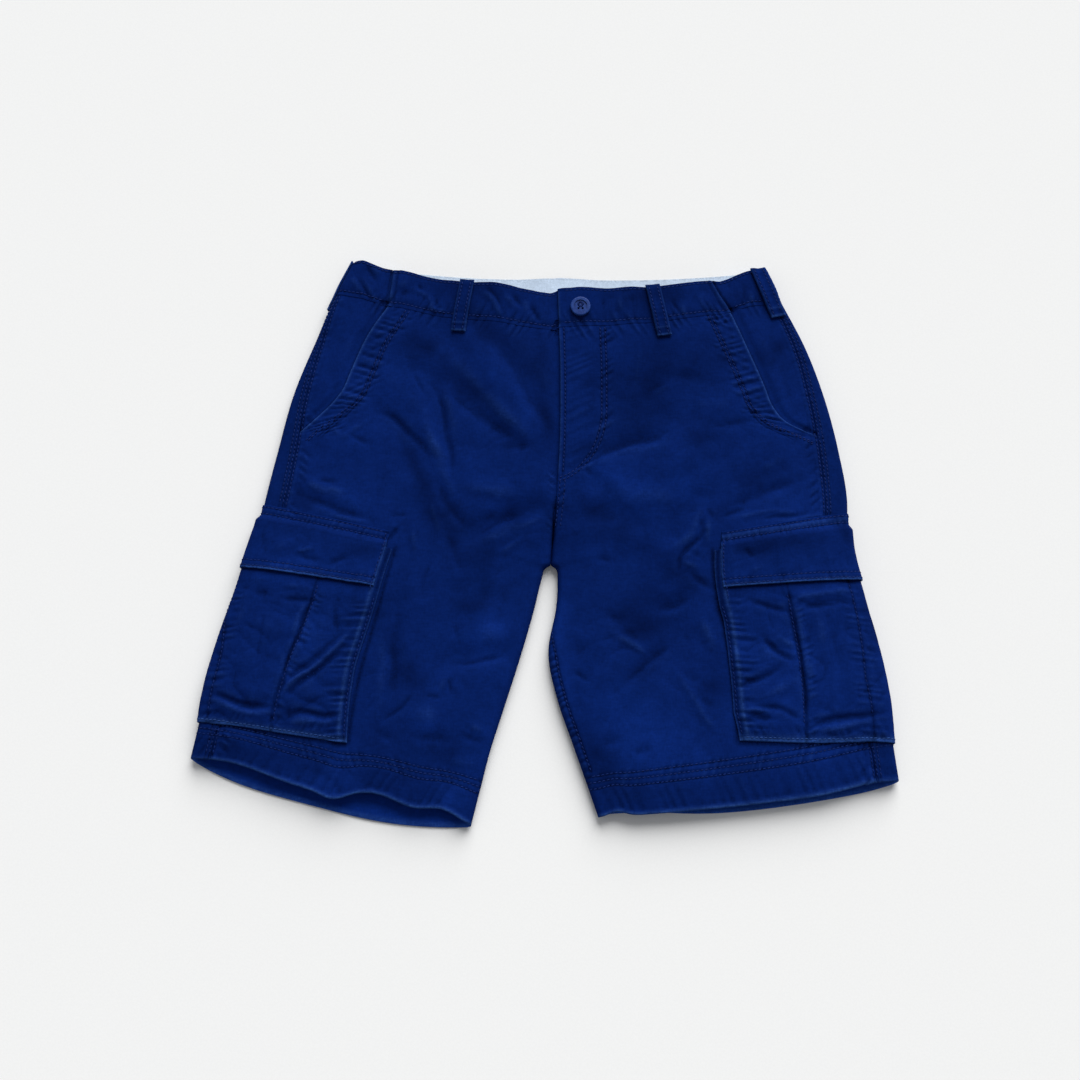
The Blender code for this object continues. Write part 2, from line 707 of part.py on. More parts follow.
def main():
    for old in list(bpy.data.objects):
        bpy.data.objects.remove(old)
    garment = bpy.data.collections.new("cargo_shorts")
    cutters = bpy.data.collections.new("cutters")
    for made in (garment, cutters):
        bpy.context.scene.collection.children.link(made)
    twill = (0.008, 0.018, 0.085)
    looks = {
        name: material(name, colour, roughness)
        for name, colour, roughness in (
            ("front_cloth", twill, 0.9),
            ("hip_cloth", (0.009, 0.019, 0.088), 0.9),
            ("back_cloth", (0.008, 0.017, 0.08), 0.9),
            ("facing_cloth", (0.009, 0.018, 0.08), 0.9),
            ("band_cloth", (0.009, 0.02, 0.09), 0.88),
            ("pale_band", (0.62, 0.7, 0.85), 0.85),
            ("loop_cloth", (0.01, 0.022, 0.095), 0.88),
            ("pocket_cloth", (0.01, 0.021, 0.092), 0.9),
            ("flap_cloth", (0.01, 0.022, 0.095), 0.88),
            ("button_plastic", (0.05, 0.08, 0.2), 0.25),
        )
    }
    for side in ("left", "right"):
        front_panel(side, garment, looks["front_cloth"])
        hip_piece(side, garment, looks["hip_cloth"])
        back_panel(side, garment, looks["back_cloth"])
        waistband_front(side, garment, looks["band_cloth"])
        cargo_pocket(side, garment, looks["pocket_cloth"])
        pocket_flap(side, garment, looks["flap_cloth"])
    fly_facing(garment, looks["facing_cloth"])
    waistband_round("waistband_back", 0.0, garment, looks["band_cloth"])
    waistband_round("waistband_inner", CLOTH + GAP, garment, looks["pale_band"])
    for name in LOOPS:
        belt_loop(name, garment, looks["loop_cloth"])
    button(garment, cutters, looks["button_plastic"])


main()
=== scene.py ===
"""Looks of the cargo shorts laid flat: every sewn piece as a fine shell of cloth with its creases,
seams and stitches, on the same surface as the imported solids.

Lengths in the tables are millimetres. q runs round the leg (0 on the side fold, plus over the front,
minus under the back), v runs down from the waist edge, p is q on a cargo pocket before it widens.
"""

import math

import bpy
import numpy as np
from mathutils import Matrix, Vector


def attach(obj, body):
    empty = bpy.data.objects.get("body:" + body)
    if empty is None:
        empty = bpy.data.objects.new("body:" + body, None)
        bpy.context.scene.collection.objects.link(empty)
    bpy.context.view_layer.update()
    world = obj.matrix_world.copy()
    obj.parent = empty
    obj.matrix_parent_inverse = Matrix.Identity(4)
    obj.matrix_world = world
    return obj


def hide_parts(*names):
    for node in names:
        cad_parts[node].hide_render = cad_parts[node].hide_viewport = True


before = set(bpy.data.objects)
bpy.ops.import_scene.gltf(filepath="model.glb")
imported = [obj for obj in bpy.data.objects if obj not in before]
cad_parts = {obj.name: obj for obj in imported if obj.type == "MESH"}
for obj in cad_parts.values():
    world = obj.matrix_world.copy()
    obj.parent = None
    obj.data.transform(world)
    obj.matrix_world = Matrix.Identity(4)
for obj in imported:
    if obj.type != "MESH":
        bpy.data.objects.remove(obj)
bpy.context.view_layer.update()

FINE = 1.0  # step of the grids, as a share of the full one

MM = 0.001
MIDDLE = np.array([-0.75, 1.9, 0.0])  # mm, of the whole garment in plan: the frame's origin

# ---- named sizes, mm ---------------------------------------------------------------------
CLOTH = 1.2  # wall of one panel
GAP = 0.3  # between pieces
WAIST_SEAM = 30.0  # depth of the waistband
CROTCH = 210.0
HEM = 424.0
HEM_DEPTH = 27.0
HEM_WALL = 2.2  # turned-up cloth
FOLD_R = 4.5  # of the side fold and of the inseam fold
BAND_WALL = 2.4  # front waistband, two layers
BAND_LIFT = 0.9  # of the waistband over the panels
UNDERLAP = 34.0  # of the waistband under the button end
FLY_WIDTH = 34.0
FLY_STRAIGHT = 105.0  # v where the J turns
FLY_END = 150.0
MOUTH_END = 150.0  # v where the slanted mouth meets the side seam
FACING_TUCK = 20.0  # hip piece under the front panel
LOOP_WIDTH = 12.0
LOOP_WALL = 2.0
LOOP_GAP = 0.5
LOOP_RAISE = LOOP_WALL + LOOP_GAP  # of the cloth that rests on a loop
POCKET_WALL = 1.2
FLAP_WALL = 1.4
FLAP_STITCHED = 12.0  # of the flap's top, sewn down flat
POCKET_START = 228.0  # v from which the pocket widens
POCKET_DEEP = 165.0
POCKET_FRONT = 112.5  # p of the pocket's sewn front edge
FLAP_FRONT = 107.5  # p of the flap's front edge
POCKET_FOLD = 106.5  # p of the fold that the bellows hang from
POCKET_BACK = -48.0  # p of the back edge of pocket and flap, under the leg
POCKET_RISEN = 111.0  # p where the pocket's bottom and the flap's edges have their front heights
POCKET_MOUTH = 3.0  # of the pocket's top edge below the flap's stitched strip
BUTTON_AT = 18.5, 15.5  # from the overlap edge, and down from the waist edge
SHORT = 0.15  # by which a panel's edge stops before the centre line
CENTRE_TUCK = 0.7  # by which a left panel passes the centre line at the crotch

# ---- sections down the garment -----------------------------------------------------------
# v, side fold x y, sag of the section on the front and on the back
SIDE_FOLDS = {
    "left": (
        (0, -158, 231, 4.0, 4.5),
        (30, -171.5, 203, 5.0, 4.5),
        (75, -189, 161, 3.0, 3.0),
        (120, -205, 117, 2.0, 1.0),
        (165, -215.5, 72, 1.0, 0.5),
        (210, -224.5, 28, 0.0, 0.0),
        (230, -227.5, 9, 0.0, 0.0),
        (250, -233, -10, 0.0, 1.0),
        (290, -244, -48, 0.0, 3.0),
        (330, -256, -86, 0.0, 6.0),
        (370, -265.5, -126, 0.0, 10.0),
        (395, -269.5, -152, 0.0, 13.0),
        (424, -275, -180, 0.0, 14.0),
    ),
    "right": (
        (0, 182.5, 225, 5.5, 3.5),
        (30, 195, 198, 5.5, 3.5),
        (75, 214, 157, 3.5, 2.5),
        (120, 228, 114, 2.0, 1.0),
        (165, 237.5, 70, 1.0, 0.5),
        (210, 242.5, 26, 0.0, 0.0),
        (230, 241.3, 6, 0.0, 0.0),
        (250, 242.3, -14, 0.0, 0.5),
        (290, 251, -53, 0.5, 2.0),
        (330, 260.5, -92, 1.5, 4.0),
        (370, 267, -131, 2.5, 6.0),
        (395, 269, -159, 3.0, 7.0),
        (424, 273.5, -197, 3.0, 7.0),
    ),
}
# v, centre front seam x y, centre back seam x y, down to the crotch
CENTRE_SEAMS = (
    (0, 10.0, 205, 12.0, 219),
    (30, 11.0, 172, 12.0, 188),
    (75, 12.0, 128, 11.5, 137),
    (120, 11.5, 80, 11.0, 84),
    (165, 9.0, 32, 9.0, 32),
    (210, 4.5, -24, 4.5, -24),
)
# v, inseam x y, from the crotch to the hem
INSEAMS = {
    "left": (
        (210, 4.5, -24),
        (214, 0.0, -27),
        (222, -2.0, -33.5),
        (230, -4.0, -41),
        (250, -8.2, -59),
        (290, -19.0, -97),
        (330, -31.0, -135),
        (370, -43.0, -173),
        (395, -49.0, -197),
        (424, -57.0, -229),
    ),
    "right": (
        (210, 4.5, -24),
        (214, 8.6, -27),
        (222, 9.6, -34),
        (230, 9.6, -41),
        (250, 8.5, -58),
        (290, 2.3, -94),
        (330, 9.0, -130),
        (370, 22.0, -168),
        (395, 31.0, -194),
        (424, 40.5, -222),
    ),
}
# waves of the front hem: side, q, half width, drop
HEM_WAVES = (
    ("left", -100, 48, -2.6),
    ("left", 36, 38, -7.0),
    ("left", 117, 13, 4.5),
    ("left", 152, 27, -8.5),
    ("left", 203, 18, -8.0),
    ("right", -205, 42, -4.2),
    ("right", 22, 30, -4.2),
    ("right", 222, 9, -3.5),
)
# v, height at the side fold, height in the middle, share of the drop at the centre line
HEIGHTS = (
    (0, 9.5, 17.0, 0.0),
    (30, 9.5, 18.0, 0.0),
    (75, 9.5, 19.5, 0.0),
    (120, 9.5, 20.0, 0.0),
    (160, 9.5, 20.0, 0.0),
    (190, 9.5, 19.0, 0.45),
    (210, 9.5, 18.5, 1.0),
    (250, 9.5, 18.5, 1.0),
    (330, 9.5, 18.0, 1.0),
    (395, 9.5, 15.5, 1.0),
    (424, 9.0, 14.0, 1.0),
)
# v, side seam on the left, on the right (q: how far it lies onto the front)
SIDE_SEAMS = (
    (0, 5, 10),
    (30, 5, 10),
    (75, 9, 12),
    (120, 14, 16),
    (165, 18, 19),
    (210, 20, 22),
    (424, 19, 21),
)
# v, edge of the slanted pocket mouth on the left, on the right (q)
POCKET_MOUTHS = (
    (30, 46, 46),
    (75, 41, 49),
    (105, 41, 48),
    (120, 37, 47),
    (135, 28, 40),
    (150, 17, 20),
)
# folds of the front: from x y to x y, half width, height (ridge plus, trough minus)
FOLDS = (
    (-84, 168, -52, 112, 13, -2.2),
    (-61, 158, -4, 85, 15, 2.4),
    (-135, 104, -91, 64, 10, -2.0),
    (-87, 121, -78, 56, 10, -2.0),
    (-104, 56, -71, 36, 12, -2.2),
    (-61, -1, -6, 19, 9, -2.4),
    (-120, -58, -120, -95, 11, -2.2),
    (-48, -70, -46, -76, 19, 2.4),
    (-97, -141, -95, -148, 22, 2.6),
    (-71, -100, -34, -95, 9, -2.0),
    (58, 56, 112, 60, 24, 3.4),
    (42, 38, 72, 8, 10, -2.8),
    (121, 27, 102, -2, 10, -2.6),
    (75, -28, 93, -78, 24, -4.0),
    (57, -118, 104, -156, 30, 2.8),
)
# lift of the cargo pocket across its width, from its front edge to its back edge under the leg
POCKET_ACROSS = (
    (112.5, 1.5),
    (110.0, 2.4),
    (107.5, 4.2),
    (99.0, 4.7),
    (82.0, 4.8),
    (64.2, 4.6),
    (62.6, 5.8),
    (50.0, 6.1),
    (36.0, 6.1),
    (22.0, 5.7),
    (12.6, 5.0),
    (11.0, 3.9),
    (7.1, 3.5),
    (3.6, 3.1),
    (0.0, 2.7),
    (-2.4, 2.4),
    (-4.8, 2.0),
    (-7.4, 1.5),
    (-20.0, 1.5),
    (-34.0, 1.5),
    (-48.0, 1.5),
)
# share of that lift, from the mouth of the pocket down to its bottom edge
POCKET_DOWN = ((0, 0.85), (0.12, 0.95), (0.4, 1.0), (0.82, 1.0), (0.93, 0.8), (0.985, 0.25), (1, 0.0))
# side: v at the side fold, how far it rises towards the front edge, and how much the pocket widens
POCKET_BOTTOM = {"left": (393.0, 8.0, 0.07), "right": (401.5, 20.0, 0.1)}
# side: v of the flap's top and bottom at its front edge, how far both fall towards the side fold
FLAP = {"left": (214.0, 262.0, 0.0, 7.0), "right": (214.0, 262.0, 5.0, 13.0)}
# v, height of the lower layer over the pocket and the flap that pass under it
RAISED = {
    "left": ((170, 0), (210, 1.9), (226, 3.2), (272, 3.2), (294, 1.5), (396, 1.5), (424, 0)),
    "right": ((170, 0), (214, 1.9), (230, 3.2), (278, 3.2), (300, 1.5), (404, 1.5), (424, 0)),
}
# belt loops: side, q at the top, q at the bottom, length below the waist edge, arch off the band
LOOPS = {
    "belt_loop_front_left": ("left", 98.0, 111.0, 44.0, 1.6),
    "belt_loop_front_right": ("right", 97.5, 108.0, 46.0, 1.6),
    "belt_loop_side_right": ("right", 10.0, 12.5, 45.0, 1.2),
    "belt_loop_side_left": ("left", -5.0, -5.0, 45.0, 0.0),
    "belt_loop_back": ("left", None, None, 45.0, 0.0),
}

SIDE = {side: np.array(rows, float).T for side, rows in SIDE_FOLDS.items()}
INSEAM = {side: np.array(rows, float).T for side, rows in INSEAMS.items()}
CENTRE = np.array(CENTRE_SEAMS, float).T
HEIGHT = np.array(HEIGHTS, float).T
SEAM = np.array(SIDE_SEAMS, float).T
MOUTH = np.array(POCKET_MOUTHS, float).T
COLUMN = {"left": 1, "right": 2}


# ---- reading the tables -------------------------------------------------------------------
def curve(at, rows, v):
    """Smooth curve through a table's column, carried on straight past both ends."""
    v = np.asarray(v, float)
    step = np.diff(rows) / np.diff(at)
    slope = np.concatenate([step[:1], (step[:-1] + step[1:]) / 2, step[-1:]])
    slope = np.where(np.concatenate([[False], step[:-1] * step[1:] <= 0, [False]]), 0, slope)
    i = np.clip(np.searchsorted(at, v, side="right") - 1, 0, len(at) - 2)
    h = at[i + 1] - at[i]
    t = np.clip((v - at[i]) / h, 0, 1)
    inside = (
        rows[i] * (1 + 2 * t) * (1 - t) ** 2
        + rows[i + 1] * t * t * (3 - 2 * t)
        + slope[i] * h * t * (1 - t) ** 2
        - slope[i + 1] * h * t * t * (1 - t)
    )
    before = np.minimum(v - at[0], 0) * slope[0]
    after = np.maximum(v - at[-1], 0) * slope[-1]
    return inside + before + after


def soft(x, start, end):
    """0 at start, 1 at end, smooth between."""
    t = np.clip((np.asarray(x, float) - start) / (end - start), 0, 1)
    return t * t * (3 - 2 * t)


def seam_q(side, v):
    return curve(SEAM[0], SEAM[COLUMN[side]], v)


def mouth_q(side, v):
    return curve(MOUTH[0], MOUTH[COLUMN[side]], v)


def to_front(p):
    """0 at the side fold and under the leg, 1 at the front edge of the pocket."""
    return np.clip(np.asarray(p, float) / POCKET_RISEN, 0, 1)


def pocket_bottom(side, p):
    low, rise, _ = POCKET_BOTTOM[side]
    return low - rise * to_front(p)


def flap_edges(side, p):
    top, low, top_fall, low_fall = FLAP[side]
    return top + top_fall * (1 - to_front(p)), low + low_fall * (1 - to_front(p))


def pocket_top(side, p):
    return flap_edges(side, p)[0] + FLAP_STITCHED + POCKET_MOUTH


def widening(side, v):
    """How much wider than at its top the pocket is, as a factor."""
    return 1 + POCKET_BOTTOM[side][2] * np.clip((v - POCKET_START) / POCKET_DEEP, 0, 1.1) ** 1.5


def pocket_q(side, p, v):
    """q of a line of the pocket: the pocket widens downwards."""
    return p * np.where(p > 0, widening(side, v), 1)


def of_side(rows, side):
    """A table's rows for one side."""
    return [row[1:] for row in rows if row[0] == side]


# ---- the cloth surface --------------------------------------------------------------------
def underside(side, q, v):
    """Height of the lower layer: it lies on z = 0 except over what is sewn under it, which is the
    flap and pocket of its own side, the left side's loop and the loop at the centre back."""
    at, height = np.array(RAISED[side], float).T
    raised = np.interp(v, at, height) * np.clip((np.asarray(q, float) + 85) / 35, 0, 1)
    above = 1 - soft(v, 47, 75)
    if side == "left":
        raised = raised + LOOP_RAISE * soft(q, -36, -13) * above
    _, reach = lengths(side, v)
    return raised + LOOP_RAISE * (1 - soft(reach + q, 7, 36)) * above


def ends(side, v):
    """Both ends of a section in plan: the side fold, then the centre line of the front, the back."""
    t, c, n = SIDE[side], CENTRE, INSEAM[side]
    at = [curve(t[0], t[i], v) for i in (1, 2)]
    for front_or_back in (c[1], c[2], c[3], c[4]):
        at.append(curve(c[0], front_or_back, np.minimum(v, CROTCH)))
    leg = [curve(n[0], n[i], np.maximum(v, CROTCH)) for i in (1, 2)] * 2
    return at[:2] + [np.where(np.asarray(v) > CROTCH, low, high) for low, high in zip(leg, at[2:])]


def lengths(side, v):
    """Cloth length of a section from the side fold to the centre line: over the front, the back."""
    ox, oy, fx, fy, bx, by = ends(side, v)
    k = np.clip(curve(HEIGHT[0], HEIGHT[3], v), 0, 1)
    more = (math.pi / 2 - 1) * FOLD_R * (1 + k) - 0.2
    return np.hypot(fx - ox, fy - oy) + more, np.hypot(bx - ox, by - oy) + more


def fold_relief(x, y):
    """The broad folds, which the solids have too."""
    total = np.zeros_like(x)
    for x0, y0, x1, y1, width, height in FOLDS:
        dx, dy = x1 - x0, y1 - y0
        along = np.clip(((x - x0) * dx + (y - y0) * dy) / (dx * dx + dy * dy), 0, 1)
        away = (x - x0 - along * dx) ** 2 + (y - y0 - along * dy) ** 2
        total += height * np.exp(-away / width**2)
    return total


def bell(d, wide):
    """1 where d is 0, falling off on both sides."""
    return np.exp(-((d / wide) ** 2))


def hem_wave(side, q):
    """How far the hem's edge drops from its smooth line."""
    return sum(drop * bell(q - at, width) for at, width, drop in of_side(HEM_WAVES, side))


def skin(side, q, v):
    """Points of the cloth's outer face. What passes a centre seam follows the other side."""
    q, v = np.broadcast_arrays(np.asarray(q, float), np.asarray(v, float))
    points = half_skin(side, q, v)
    if side == "right":
        return points
    (front, back), (other_front, other_back) = lengths("left", v), lengths("right", v)
    high = v < CROTCH + 2
    past = ((q > front) & high)[..., None]
    points = np.where(past, half_skin("right", other_front - (q - front), v), points)
    past = ((-q > back) & high)[..., None]
    return np.where(past, half_skin("right", -other_back - (q + back), v), points)


def pocket_lift(side, p, v):
    """Lift of the pocket's outer face without its creases: low at its sewn edges, full between."""
    across = np.array(POCKET_ACROSS[::-1]).T
    down = np.array(POCKET_DOWN).T
    top = pocket_top(side, p)
    share = np.interp((v - top) / (pocket_bottom(side, p) - top), down[0], down[1])
    sewn = 1.5 + 0.3 * (1 - soft(np.abs(p), 4, 7.4))
    return sewn + (np.interp(p, across[0], across[1]) - sewn) * share


# ---- creases of the visible cloth ---------------------------------------------------------
# height, half width on the line's left and right, then x y of its points in plan
FRONT_CREASES = (
    (-2, 7.2, 6.4, -48, 169, -20, 126, 9, 76),
    (0.9, 6.4, 6.4, -27, 169, 9, 113),
    (2.3, 6.4, 7.2, -85, 153, -62, 131, -43, 108, -10, 71),
    (-1.9, 6.4, 6.4, -80, 128, -54, 99, -20, 71),
    (-1.3, 2.8, 2.4, -89.7, 121.9, -83.0, 105.0, -78.7, 84.1, -74.2, 46.8),
    (0.9, 4.8, 4.8, -98, 109, -84, 51),
    (0.9, 4.8, 4.8, -81, 126, -70, 76),
    (-1.5, 3.2, 2.8, -136.9, 100.9, -120.6, 94.1, -104.2, 75.8, -88.0, 60.9),
    (1.5, 6.4, 6.4, -94, 84, -76, 35),
    (0.9, 2.4, 2.4, -89.9, 26.3, -82.3, -2.1),
    (-2, 4.8, 4.0, -87, 41, -69, 14, -59, 6),
    (-1.3, 5.6, 4.8, -78, 2, -64, -37),
    (1.7, 7.2, 6.4, -72, 39, -20, 29),
    (-1.5, 6.4, 4.8, -59, 8, -12, 17),
    (-1, 3.2, 2.8, -53.1, -0.5, -19.9, 14.9),
    (1, 3.2, 3.2, -59.3, -7.8, -27.7, 0.3, 2.3, 14.9),
    (-0.6, 2.4, 2.4, -35.6, -2.1, -4.0, 8.4),
    (0.7, 2.4, 2.4, -37.1, -16.7, -18.2, -5.4),
    (-1.1, 4.0, 4.0, -38, 67, -10, 71),
    (-1.3, 7.2, 6.4, -118, 141, -85, 128),
    (-0.7, 2.0, 2.0, -107.6, 132.9, -97.6, 112.6),
    (1, 2.8, 2.4, -167.6, 77.5, -143.9, 92.5),
    (0.7, 2.4, 2.4, -174.4, 89.1, -164.5, 79.1),
    (-0.7, 2.4, 2.4, -156.5, 81.6, -141.9, 73.3),
    (-0.6, 1.8, 1.8, -179.5, 45.2, -161.9, 42.7),
    (0.7, 2.4, 2.4, -172.9, 39.4, -156.8, 31.2),
    (1.4, 4.8, 4.0, -195, 46, -153, 26),
    (-2, 4.0, 4.0, -195, 33, -159, 17, -137, 9),
    (-0.6, 1.6, 1.6, -122.2, 13.3, -107.1, 13.3),
    (0.8, 2.4, 2.4, -102.2, 3.5, -103.3, -22.3),
    (0.9, 7.2, 7.2, -132, 133, -110, 111),
    (0.8, 4.8, 4.8, -113, 111, -93, 97),
    (-2.4, 8.0, 4.0, 20, 53, 54, 68, 89, 76, 99, 92),
    (1.7, 10.4, 9.6, 44, 29, 115, 30),
    (-0.8, 2.4, 2.4, 29.6, 54.3, 37.5, 45.2),
    (-2, 5.6, 4.8, 203, 44, 171, 33, 145, 13),
    (0.7, 3.2, 3.2, 169.2, 49.3, 196.1, 65.8),
    (1.5, 4.0, 4.0, 99, -13, 115, 2, 127, 26),
    (-1.3, 2.1, 2.1, 106.4, -22.3, 114.5, -10.2, 125.0, 1.9),
    (-1.3, 2.1, 2.1, 105.3, -34.3, 107.2, -16.7, 117.8, -4.6),
    (-1.3, 5.6, 5.6, 100, 133, 146, 122),
    (0.9, 5.6, 5.6, 117, 108, 153, 105),
    (-1, 4.0, 4.0, 125, 89, 173, 92),
    (0.6, 1.9, 1.9, 74.9, 160.2, 73.6, 121.9, 68.6, 109.3),
    (-1, 4.0, 4.0, 38, 152, 63, 164),
    (0.8, 3.2, 3.2, 41.0, 82.5, 62.0, 94.1),
    (0.6, 2.4, 2.4, 86.3, 110.9, 102.7, 122.7),
    (-1.2, 4.8, 6.4, 73, 105, 100, 128),
    (1.1, 3.2, 3.2, 127.1, -11.8, 129.2, 10.0),
    (-1.6, 9.6, 8.0, 17, 10, 45, 17, 75, 2),
    (-1.8, 5.6, 5.6, -112, -54, -118, -94, -117, -140),
    (0.9, 4.8, 4.8, -127, -78, -129, -148),
    (-0.9, 2.1, 2.1, -101.5, -124.9, -110.5, -138.8, -127.3, -149.6),
    (-1, 1.8, 1.8, -93.7, -129.5, -81.3, -130.3),
    (-0.9, 1.8, 1.8, -76.1, -112.4, -72.1, -126.4),
    (0.9, 3.2, 3.2, -83.7, -124.9, -76.9, -112.4),
    (-1.1, 2.4, 2.4, -75.5, -103.9, -49.1, -102.3, -30.4, -98.4),
    (1.4, 10.4, 9.6, -59, -80, -20, -86),
    (-1.2, 7.2, 6.4, -86, -42, -28, -54),
    (1.8, 8.0, 8.0, -108, -146, -78, -142),
    (-1.6, 5.6, 5.6, -104, -162, -69, -162),
    (-1.1, 3.2, 3.2, -64.0, -158.0, -48.6, -164.9),
    (0.8, 3.2, 3.2, -57.9, -149.6, -47.1, -155.7),
    (0.9, 4.0, 4.0, -75, -177, -51, -183),
    (-1, 4.8, 4.8, -133, -154, -115, -165),
    (-0.6, 1.8, 1.8, -90.7, -22.3, -97.4, -46.3, -94.1, -58.2),
    (-0.6, 2.4, 2.4, -70.4, -70.1, -66.3, -93.7),
    (-2.2, 7.2, 4.0, 84, -64, 103, -57, 120, -46),
    (-1.8, 7.2, 3.6, 56, -125, 78, -103, 99, -86),
    (1.2, 3.2, 3.2, 52.2, -79.6, 81.5, -98.4),
    (-1.1, 4.0, 4.0, 46, -64, 75, -87),
    (-0.9, 4.0, 4.0, 47, -66, 68, -72),
    (-0.8, 2.4, 2.4, 41.7, -19.1, 52.8, -22.3),
    (-0.9, 5.6, 5.6, 15, -86, 35, -98),
    (-0.8, 2.1, 2.1, 20.8, -109.3, 33.2, -117.1),
    (1.4, 4.8, 4.8, 120, -66, 134, -100),
    (-1.4, 3.2, 3.2, 112.5, -31.9, 133.4, -44.7),
    (-1.1, 4.0, 4.0, 133, -46, 138, -70),
    (0.8, 2.4, 2.4, 109.5, -23.9, 122.0, -28.7),
    (-1, 2.4, 2.4, 112.8, -14.2, 123.7, -19.9),
    (1, 3.2, 3.2, 100.9, -105.4, 112.1, -124.9, 123.3, -144.2, 136.0, -159.5),
    (-1, 4.0, 4.0, 108, -108, 122, -119),
    (-0.9, 3.2, 3.2, 119.7, -131.1, 132.0, -135.7),
    (-0.8, 4.8, 4.8, 42, -165, 59, -162),
    (-0.7, 4.0, 4.0, 64, -173, 84, -171),
    (-0.8, 5.6, 5.6, -163, 143, -173, 109, -179, 84),
    (0.8, 4.8, 4.8, -157, 169, -169, 133),
    (-0.9, 5.6, 5.6, 188, 152, 198, 116, 206, 84),
    (0.8, 4.8, 4.8, 175, 169, 187, 133),
    (0.8, 2.0, 2.0, 150.6, 10.0, 178.6, 17.4, 202.3, 16.5),
    (0.8, 2.0, 2.0, 182.2, 7.6, 210.2, 14.1, 237.9, 12.5),
    (-0.8, 1.6, 1.6, 138.7, 10.8, 162.7, 19.0),
    (-0.8, 1.6, 1.6, 170.4, 9.2, 194.3, 14.9, 214.2, 16.5),
    (-0.7, 1.6, 1.6, 202.1, 10.0, 234.0, 14.9),
    (0.5, 1.9, 1.9, 125.4, 16.5, 129.9, 8.4, 127.3, -1.3),
    (-0.6, 1.9, 1.9, 121.4, 14.9, 124.3, 6.0, 121.7, -4.6),
    (0.5, 1.6, 1.6, 131.8, 19.8, 137.2, 14.1),
    (-0.5, 1.4, 1.4, 128.6, 19.8, 133.2, 13.3),
    (-1.7, 2.1, 2.1, -125.7, -8.6, -119.5, -2.9, -114.0, 2.7),
    (0.8, 1.6, 1.6, -170.7, 16.5, -138.7, 6.8),
    (-0.8, 1.4, 1.4, -174.5, 13.3, -146.5, 4.3),
)
